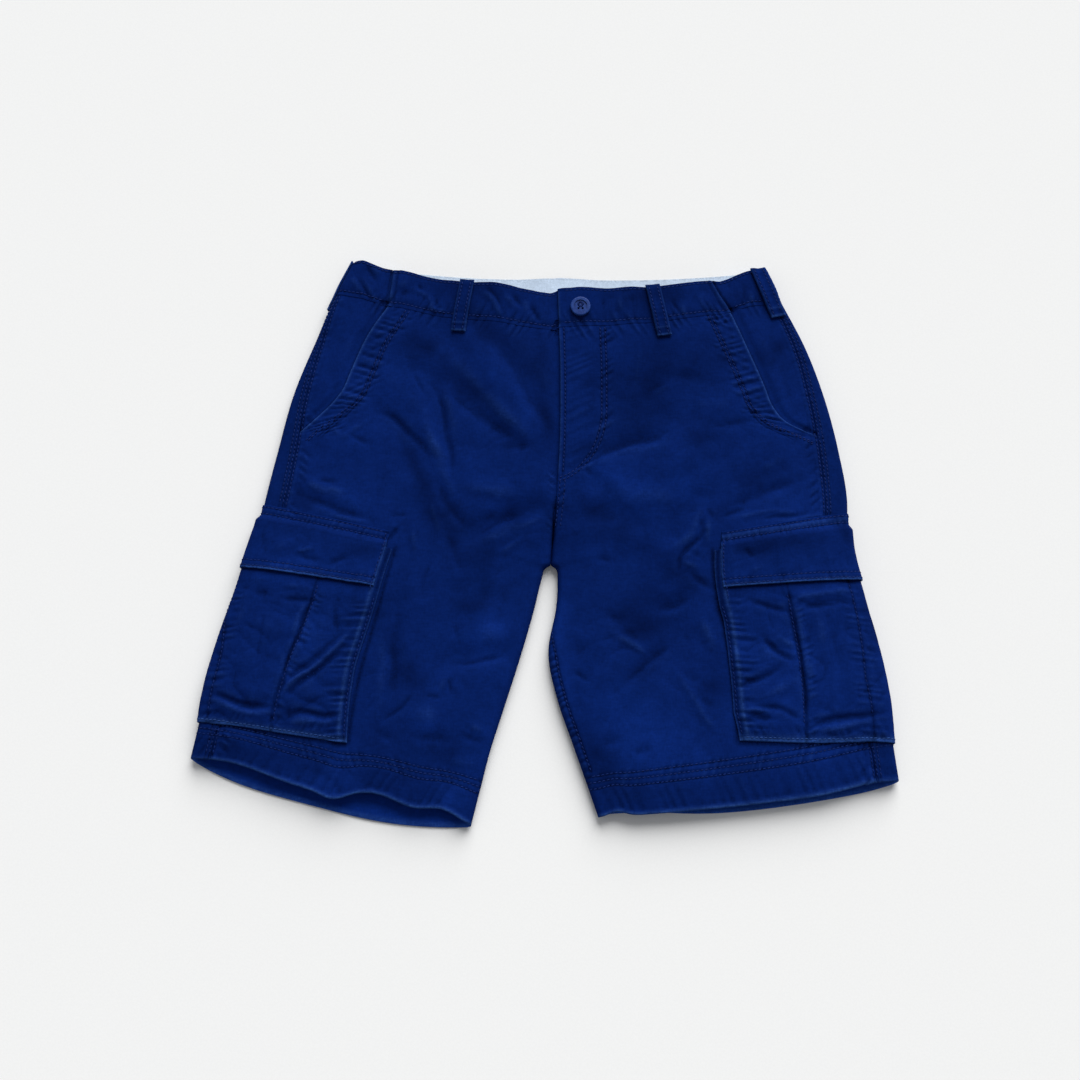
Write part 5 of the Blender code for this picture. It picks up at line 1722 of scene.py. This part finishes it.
def mouth_dip(side, q, v):
    """How far the band's lower edge sinks onto the hip piece beside the pocket mouth."""
    mouth = mouth_q(side, WAIST_SEAM)
    beside = soft(q, mouth - 10, mouth - 3.5) * (1 - soft(q, mouth - 0.8, mouth + 0.6))
    return 1.7 * beside * soft(v, 27.5, 30)


def band_wall(v, wall):
    """The band's wall thins to one layer where it laps over the panels."""
    return wall + (0.75 - wall) * soft(v, WAIST_SEAM - 1.0, WAIST_SEAM - 0.2)


def band_front_lift(side, q, v):
    """Lift of the front waistband; the left one's end sinks under the button end."""
    reach, _ = lengths(side, v)
    under = 0.0 if side == "right" else soft(q, reach - 14, reach - 1)
    d = q - band_seam(side, v)
    seam = 0.55 * bell(d - 1.6, 1.3) - 0.35 * bell(d - 4.6, 1.0)
    return band_lift(q, v) - mouth_dip(side, q, v) - 3.0 * under + dips(v, BAND_ROWS, 0.25) + seam


def band_wear(side, q, v):
    """Wear of the waistband, and its dark: painted shade along its rows and beside its seam, a darker
    line along its top edge and a little darker overall.
    """
    wear, dark = wear_and_painted_shade(own_relief(side, q, v) * soft(q, 0, 6))
    d = q - band_seam(side, v)
    dark = dark + 0.1 + 0.4 * worn(v, 1.6) + 0.35 * dark_rows(v, BAND_ROWS)
    return wear + 0.3 * bell(d - 1.6, 1.2), dark + 0.4 * bell(d + 1.0, 1.2) + 0.3 * bell(d - 4.6, 1.0)


def waistband_front(side):
    v = lines(WAIST_SEAM + BAND_LIP, 1.1)
    reach, _ = lengths(side, v)
    end = reach - SHORT if side == "right" else reach + UNDERLAP
    q = spread(band_seam(side, v) + GAP / 2, end, 1.2)
    v = rows_of(v, q)
    wear, dark = band_wear(side, q, v)
    if side == "right":
        wear = wear + worn(reach[:, None] - q, 1.2, 0.5)
    name, lift, wall = f"waistband_front_{side}", band_front_lift(side, q, v), band_wall(v, BAND_WALL)
    return piece(name, side, q, v, lift, wall, "band_cloth", wear, dark, [f"front_{side}_shell"])


def round_half(side, v, drop):
    """One side's half of a strip round the waist: outer and inner points, wear, dark and q."""
    _, reach = lengths(side, v)
    start = band_seam(side, v) + (-GAP / 2 if drop else GAP + 0.9)  # the outer one ends under the front band
    q = spread_round(start, reach, -16.0, 1.3, 2.0)
    v, start = rows_of(v, q), start[:, None]
    if drop:
        lift, wall = 0.25 * rungs(q, 7.0, 0.3) * soft(-q, 20, 30) - drop, CLOTH
    else:
        lift = dips(v, BAND_ROWS, 0.2) - mouth_dip(side, q, v) - 1.0 * soft(q - start, -1.9, -0.7)
        wall = band_wall(v, CLOTH)
    d = np.minimum(np.minimum(start - q, v), v[-1:] - v)
    return *walls(side, q, v, d, band_lift(q, v) + lift, wall), *band_wear(side, q, v), q


def waistband_round(name, drop, slot):
    """The strip from one front seam round both sides and the back to the other, drop mm inside the
    waistband's outer face."""
    v = lines(WAIST_SEAM - 3 if drop else WAIST_SEAM + BAND_LIP, 1.4)
    left, right = (round_half(side, v, drop) for side in ("left", "right"))

    def both(k):
        middle = (left[k][:, -1:] + right[k][:, -1:]) / 2
        return np.concatenate([left[k][:, :-1], middle, right[k][:, -2::-1]], axis=1)

    made = shell(f"{name}_shell", both(0), both(1), LOOKS[slot], both(2), both(3))
    done(made, [name])
    return made


def loop_centre(name, v):
    """q of a loop's middle; the centre back one stands on the left back's edge."""
    side, top_q, low_q, length, _ = LOOPS[name]
    if top_q is None:
        return -lengths(side, v)[1]
    return top_q + (low_q - top_q) * v / length


def loop_lift(name, q, v):
    """Lift of a loop's outer face; those that show have ridges beside their two rows."""
    _, _, _, length, arch = LOOPS[name]
    over = BAND_LIFT * soft(q, -7, 5) * (1 - soft(v, 20, 36))
    over = over + LOOP_GAP + LOOP_WALL + arch * np.sin(np.pi * np.clip(v / length, 0, 1))
    if not arch:
        return over
    d = np.abs(q - loop_centre(name, v))
    over = over + 0.45 * soft(d, 0.8, 2.6) * (1 - soft(d, 4.6, 6)) + dips(d, (LOOP_ROW,), 0.25)
    return over + 0.15 * rungs(v, 5.2, 1.1) - 0.35 * bell(v - length + 5.5, 1.0)


def belt_loop(name):
    side, _, _, length, _ = LOOPS[name]
    v = lines(length + 0.6, 0.9) - 0.6
    centre = loop_centre(name, v)
    q = spread(centre - LOOP_WIDTH / 2, centre + LOOP_WIDTH / 2, 0.8)
    v, d = rows_of(v, q), q - centre[:, None]
    wear = worn(LOOP_WIDTH / 2 - np.abs(d), 1.1, 0.4) + worn(length - v, 1.5, 0.3) + worn(v, 1.5, 0.2)
    wear = wear + 0.55 * bell(v - length + 1.2, 0.9) + 0.3 * bell(v - length + 8.2, 0.9)
    # painted shade in the groove above the bar tack and in its rows
    dark = 0.35 * bell(v - length + 4.6, 1.6) + 0.3 * bell(np.abs(d) - LOOP_ROW, 0.9)
    under = [f"waistband_front_{side}_shell" if "front" in name else "waistband_back_shell"]
    return piece(name, side, q, v, loop_lift(name, q, v), LOOP_WALL, "loop_cloth", wear, dark, under)


# ---- cargo pockets ------------------------------------------------------------------------
POCKET_EDGE = {  # v, how far the sewn front edge stands from its mean
    "left": ((228, -0.5), (278, -1.5), (330, -3.0), (384, 0.6), (400, 0.3)),
    "right": ((228, 0.0), (278, 1.2), (290, 0.6), (325, 3.0), (361, 4.0), (383, -0.6), (402, -1.0)),
}


def averaged_lift(side, p, v, step):
    """Lift of the pocket, averaged across over a small step."""
    return sum(share * pocket_lift(side, p + k * step, v) for k, share in ((-1, 0.25), (0, 0.5), (1, 0.25)))


def below_flap(v):
    """0 under the flap, 1 below it, where the pocket's face shows."""
    return soft(v, 266, 282)


def pocket_relief(side, p, v):
    """Creases, puckers and rows of stitches of the pocket's outer face."""
    seed = 1.3 if side == "left" else 3.7
    low, edge = pocket_bottom(side, p), POCKET_FRONT - p
    creases = 1.25 * strokes(p, v, of_side(POCKET_CREASES, side))
    creases = creases + 3.2 * crumple(p, v, 70 if side == "left" else 90)
    total = creases * soft(low - v, 1, 6) * soft(edge, 0.5, 5)
    jag = 4 * np.sin(v / 4.1 + 2 * np.sin(v / 9.3 + seed)) * soft(edge, 6, 16)
    total = total + 0.85 * hump(edge + jag, 3, 17, 5) * rungs(v + 0.25 * p, 6.0, seed)
    d = p - pleat_p(side, v)
    total = total + dips(d, (0.0,), 0.5, 1.0)
    total = total + 0.6 * hump(d if side == "left" else -d, 2, 8, 3) * rungs(v - 0.3 * p, 5.9, seed + 2)
    d = p - rear_p(side, v)
    total = total + dips(d, (0.0,), 0.5, 1.0) + 0.55 * hump(d, -10, 9, 4) * rungs(v + 0.3 * p, 6.1, seed + 3)
    total = below_flap(v) * total + dips(low - v, (POCKET_ROW,), 0.3)
    total = total + 0.45 * hump(low - v, 3, 11, 4) * rungs(p + 0.5 * v, 4.9, seed + 1) * soft(edge, 1, 5)
    return total * soft(p, -1, 9)


def pocket_face(side, p, v):
    """Lift of the pocket's outer face."""
    return averaged_lift(side, p, v, 1.3) + pocket_relief(side, p, v)


def pleat_p(side, v):
    """p of the open pleat in the middle of the pocket."""
    return 63 - 6 * soft(v, 281, 375) if side == "left" else 60 + 4.7 * soft(v, 274, 388)


def rear_p(side, v):
    """p of the row of stitches near the outer fold."""
    if side == "left":
        return 9 * soft(v, 285, 348)
    return np.interp(v, (297, 324, 351, 378), (12.4, 15.3, 18.4, 16.7))


def edge_q(side, p, v):
    """q of a point of the pocket, whose front edge isn't quite straight."""
    at, shift = np.array(POCKET_EDGE[side], float).T
    return pocket_q(side, p, v) + np.interp(v, at, shift) * soft(p, 70, 112)


def cargo_pocket(side):
    p = spread([POCKET_BACK], [POCKET_FRONT], 1.25)[0]
    tall = pocket_bottom(side, 0) - pocket_top(side, 0)
    share = lines(tall, 1.25)[:, None] / tall
    v = pocket_top(side, p) * (1 - share) + pocket_bottom(side, p) * share
    p = np.broadcast_to(p, v.shape)
    wear, dark = wear_and_painted_shade(pocket_relief(side, p, v))
    wear = wear + worn(pocket_bottom(side, p) - v, 3.2, 0.95)
    wear = wear + 0.45 * bell(POCKET_FOLD - p, 1.3) + worn(POCKET_FRONT - p, 0.9, 0.4)
    # painted shade in the pleat, on the gusset's side wall, in the rear row and under the flap's edge
    dark = dark + 0.35 * bell(p - pleat_p(side, v), 1.2) + 0.35 * hump(p, 108.8, 111.4, 0.8)
    dark = dark + 0.32 * bell(p - rear_p(side, v), 1.5) * below_flap(v)
    past_flap = v - flap_edges(side, p)[1]
    dark = dark + 0.4 * (1 - soft(past_flap, 0.6, 3)) * (1 - 0.7 * soft(p, 104, 107))
    q, lift, dark = edge_q(side, p, v), pocket_face(side, p, v), np.clip(dark, 0, 0.75)
    under = [f"front_{side}_shell", f"back_{side}_shell"]
    return piece(f"cargo_pocket_{side}", side, q, v, lift, POCKET_WALL, "pocket_cloth", wear, dark, under)


def on_pocket(side, p, v):
    """0 where the flap's top is sewn down, 1 where it lies over the pocket."""
    return soft(v - flap_edges(side, p)[0], FLAP_STITCHED - 4, FLAP_STITCHED + 2)


def flap_form(side, p, v):
    """The flap's own form, relief and rows of stitches, over what it lies on."""
    top, low = flap_edges(side, p)
    down, up = v - top, low - v
    loose, seed = on_pocket(side, p, v), 0.9 if side == "left" else 2.2
    form = (GAP + FLAP_WALL) * (0.6 + 0.4 * loose) - 1.3 * soft(p, 97, FLAP_FRONT) * loose
    relief = strokes(p, v, of_side(FLAP_CREASES, side)) + 2.2 * crumple(p, v, 110 if side == "left" else 130)
    relief = loose * relief + (0.9 + 0.5 * rungs(p, 47, seed)) * soft(v, low - 16, low)
    relief = relief + 0.4 * hump(up, 1, 9, 3) * rungs(p, 6.4, seed)
    relief = relief + 0.6 * hump(down, 2.5, 11, 2) * rungs(p + 0.3 * v, 4.3, seed + 1)
    between = 0.7 if side == "right" else 0.3  # height of the pad between the two upper rows
    relief = relief + between * hump(down, 3.0, 9.5, 2.5) - 0.35 * bell(down - 13.5, 2.6)
    relief = relief + dips(down, FLAP_TOP_ROWS, 0.35) + dips(up, FLAP_LOW_ROWS, 0.3)
    return form + relief * soft(p, -1, 9)


def flap_face(side, p, v):
    """Lift of the flap's outer face."""
    below = averaged_lift(side, p, np.maximum(v, pocket_top(side, p)), 1.5)
    return flap_form(side, p, v) + below * on_pocket(side, p, v)


def pocket_flap(side):
    p = spread([POCKET_BACK], [FLAP_FRONT], 1.15)[0]
    top, low = flap_edges(side, p)
    tall = float(np.median(low - top))
    share = lines(tall, 1.15)[:, None] / tall
    v = top * (1 - share) + low * share
    p = np.broadcast_to(p, v.shape)
    down, up = v - top, low - v
    wear, dark = wear_and_painted_shade(flap_form(side, p, v))
    wear = wear + worn(up, 1.9, 0.85) + worn(FLAP_FRONT - p, 1.3, 0.6) * soft(down, 8, 14)
    wear = wear + (0.16 if side == "right" else 0.0) * hump(down, 3.2, 7.2, 1)
    # painted shade in the hinge's groove and in the rows
    dark = dark + 0.12 * bell(down - 13.0, 2.4) * soft(p, -12, 2)
    dark = dark + 0.32 * (dark_rows(down, FLAP_TOP_ROWS) + dark_rows(up, FLAP_LOW_ROWS))
    q, lift, dark = edge_q(side, p, v), flap_face(side, p, v), np.clip(dark, 0, 0.75)
    under = [f"cargo_pocket_{side}_shell"]
    return piece(f"pocket_flap_{side}", side, q, v, lift, FLAP_WALL, "flap_cloth", wear, dark, under)


# ---- stitching ----------------------------------------------------------------------------
def panel_runs(side):
    """Side seam above the flap and below the pocket, pocket mouth, hem of front and back."""
    for d in SEAM_ROWS:
        over = hip_row_lift if d > 0 else None
        top, low = float(flap_edges(side, 0.0)[0]) - 1, float(pocket_bottom(side, 0)) + 2
        yield down_run(side, lambda v: seam_q(side, v) + d, WAIST_SEAM + 2, top, over)
        yield down_run(side, lambda v: seam_q(side, v) + d, low, HEM - 2)
    for d in MOUTH_ROWS:
        yield down_run(side, lambda v: mouth_row_q(side, d, v), WAIST_SEAM + 2, MOUTH_END + 8)
    reach, back_reach = (float(a) for a in lengths(side, np.array(400.0)))
    for v in HEM_ROWS:
        yield level_run(side, v, -12, reach - 3)
    yield level_run(side, HEM_ROWS[1], -back_reach + 3, -14)


def hip_row_lift(side, q, v):
    """Lift of a row on the hip piece, and 0 on the front below it."""
    return hip_lift(side, q, v) * (v < MOUTH_END)


def mouth_row_q(side, d, v):
    """q of a row beside the pocket mouth: both rows close up towards its end."""
    return mouth_q(side, v) + d * (1 - 0.35 * soft(v, 110, 150))


def band_runs(side):
    """The waistband's two rows: on the front piece, then on the strip round the back."""
    for v in BAND_ROWS:
        reach, back_reach = (float(a) for a in lengths(side, np.array(v)))
        seam, short = float(band_seam(side, v)), 2.6 if side == "right" else 0.5
        yield level_run(side, v, seam + 1, reach - short, band_front_lift)
        yield level_run(side, v, -back_reach + 2, seam - 2, lambda side, q, v: band_lift(q, v))


def face_run(face, side, p, v):
    """A run on a pocket or a flap, whose lift is face."""
    return side, edge_q(side, p, v), v, face(side, p, v)


def flap_runs(side):
    """Rows along the flap's top and bottom, and one beside its front edge."""
    p = np.linspace(-46, 105, 130)
    top, low = flap_edges(side, p)
    for v in [top + row for row in FLAP_TOP_ROWS] + [low - row for row in FLAP_LOW_ROWS]:
        yield face_run(flap_face, side, p, v)
    top, low = flap_edges(side, 0.0)
    v = np.linspace(float(top) + 2, float(low) - 3, 40)
    yield face_run(flap_face, side, np.full(v.shape, FLAP_FRONT - FLAP_LOW_ROWS[0]), v)


def pocket_runs(side):
    """Rows down the pocket: beside its front edge, its pleat and its outer fold."""
    start, end = float(flap_edges(side, 0.0)[1]) + 2, float(pocket_bottom(side, 111)) - 2
    v = np.linspace(start, end, 100)
    for p in (np.full(v.shape, 110.2), pleat_p(side, v) + 1.6, rear_p(side, v)):
        yield face_run(pocket_face, side, p, v)


def pocket_bottom_run(side):
    """The row along the pocket's bottom edge."""
    p = np.linspace(-46, 110, 130)
    return face_run(pocket_face, side, p, pocket_bottom(side, p) - POCKET_ROW)


def centre_runs():
    """The fly's J, its overlap edge, the seam below it and the inseam, all on the right front."""
    turn = np.linspace(0, math.pi / 2, 60)
    for offset in FLY_ROWS:
        straight = np.linspace(WAIST_SEAM + 2, FLY_STRAIGHT, 60)[:-1]
        v = np.concatenate([straight, FLY_STRAIGHT + fly_turn(offset) * np.sin(turn)])
        inward = np.concatenate([np.full(len(straight), offset), offset * np.cos(turn)])
        yield "right", lengths("right", v)[0] - inward, v, 0.0
    rows = [(EDGE_ROW, WAIST_SEAM + 1, FLY_END + 2)]
    rows += [(row, FLY_END + 6, CROTCH - 22) for row in CROTCH_ROWS]
    for row, start, end in rows:
        yield down_run("right", lambda v: lengths("right", v)[0] - row, start, end)
    yield down_run("right", lambda v: lengths("right", v)[0] - inseam_band(v), 272, 391)


def loop_runs():
    """Both rows of every belt loop."""
    for name, (side, _, _, length, _) in LOOPS.items():
        v = np.linspace(1.5, length - 1.5, 50)
        for d in (-LOOP_ROW, LOOP_ROW):
            q = loop_centre(name, v) + d
            yield side, q, v, loop_lift(name, q, v)


def stitching():
    """All rows of stitches as two meshes: those in navy, and the worn ones of the pockets' bottoms."""
    navy = []
    for side in ("left", "right"):
        for runs in (panel_runs, band_runs, flap_runs, pocket_runs):
            navy += runs(side)
    navy += [*centre_runs(), *loop_runs()]
    done(stitch_mesh("stitches_navy", navy, LOOKS["thread"]), [])
    worn_runs = [pocket_bottom_run(side) for side in ("left", "right")]
    done(stitch_mesh("stitches_worn", worn_runs, LOOKS["thread_worn"]), [])


# ---- button -------------------------------------------------------------------------------
BUTTON_THREAD = 0.28  # radius of a thread, and how far each of a pair lies from their middle
# x y of the two holes that each pair of threads joins
THREAD_BARS = (
    (-1.7, -1.7, -1.7, 1.7),
    (1.7, -1.7, 1.7, 1.7),
    (-1.7, 1.7, 1.7, 1.7),
    (-1.7, -1.7, 1.7, -1.7),
)


def button_place():
    reach, _ = lengths("right", BUTTON_AT[1])
    q, v = float(reach) - BUTTON_AT[0], BUTTON_AT[1]
    at, out = faced("right", q, v)
    foot = at + out * (BAND_LIFT + GAP + 0.25)
    place = Vector((0, 0, 1)).rotation_difference(Vector(out)).to_matrix().to_4x4()
    place.translation = Vector((foot - MIDDLE) * MM)
    return place


def button_thread():
    """Pairs of threads from hole to hole, which dip into the holes at both ends."""
    points, faces = [], []
    template, template_faces = capsule(8)
    for x0, y0, x1, y1 in THREAD_BARS:
        size = math.hypot(x1 - x0, y1 - y0)
        ux, uy = (x1 - x0) / size, (y1 - y0) / size
        for step in (-BUTTON_THREAD, BUTTON_THREAD):
            faces += [tuple(len(points) + n for n in face) for face in template_faces]
            for x, r, h in template:
                ahead, aside = x * (size / 2 + 0.3), r * BUTTON_THREAD + step
                at_x, at_y = (x0 + x1) / 2 + ux * ahead - uy * aside, (y0 + y1) / 2 + uy * ahead + ux * aside
                points.append((at_x, at_y, 2.25 + h * BUTTON_THREAD - 0.9 * x**4))
    return mesh_object("button_thread", np.array(points) * MM, faces, LOOKS["thread"])


def button():
    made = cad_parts["button"]
    made.data.materials.clear()
    made.data.materials.append(LOOKS["button"])
    made.data.polygons.foreach_set("use_smooth", np.ones(len(made.data.polygons), bool))
    made.data.set_sharp_from_angle(angle=math.radians(38))
    thread = button_thread()
    thread.data.transform(button_place())
    done(thread, [])


for side in ("left", "right"):
    for make in (front_panel, hip_piece, back_panel, waistband_front, cargo_pocket, pocket_flap):
        make(side)
fly_facing()
waistband_round("waistband_back", 0.0, "band_cloth")
waistband_round("waistband_inner", CLOTH + GAP, "pale_band")
for name in LOOPS:
    belt_loop(name)
button()
stitching()


# ---- floor, light and camera --------------------------------------------------------------
FLOOR_HALF = 20.0  # metres
FLOOR_Z = -0.0002
CAMERA_UP = math.radians(78)  # above the cloth's plane
CAMERA_AWAY = 1.2  # metres
CAMERA_AIM = Vector((-0.00325, -0.0051, 0.004))


def floor():
    look, tree, shader, at = new_look("floor_paper")
    fleck = ramp(tree, noise(tree, at, 1.5, 2.0), 0, 1, 0.35, 0.65)
    tree.links.new(mix(tree, fleck, (0.86, 0.865, 0.87), (0.88, 0.885, 0.89)), shader.inputs["Base Color"])
    settle(shader, {"Roughness": 0.95, "Specular IOR Level": 0.1})
    mesh = bpy.data.meshes.new("floor")
    corners = [(x * FLOOR_HALF, y * FLOOR_HALF, FLOOR_Z) for x, y in ((-1, -1), (1, -1), (1, 1), (-1, 1))]
    mesh.from_pydata(corners, [], [(0, 1, 2, 3)])
    mesh.materials.append(look)
    linked("floor", mesh)


def sky():
    world = bpy.data.worlds.new("studio")
    bpy.context.scene.world = world
    world.use_nodes = True
    settle(world.node_tree.nodes["Background"], {"Color": (0.97, 0.985, 1.0, 1), "Strength": 0.30})


def key_light():
    key = bpy.data.lights.new("key", "SUN")
    key.energy, key.angle, key.color = 4.2, math.radians(52), (1.0, 0.995, 0.98)
    linked("key", key).rotation_euler = Vector((-0.28, -1.0, -0.68)).to_track_quat("-Z", "Y").to_euler()


def camera():
    data = bpy.data.cameras.new("photo_camera")
    data.lens, data.sensor_width = 50, 36
    data.clip_start, data.clip_end = 0.05, 30
    made = linked("photo_camera", data)
    made.location = CAMERA_AIM + CAMERA_AWAY * Vector((0, -math.cos(CAMERA_UP), math.sin(CAMERA_UP)))
    made.rotation_euler = (math.pi / 2 - CAMERA_UP, 0, 0)
    bpy.context.scene.camera = made
    bpy.context.scene.view_settings.view_transform = "Standard"


floor()
sky()
key_light()
camera()
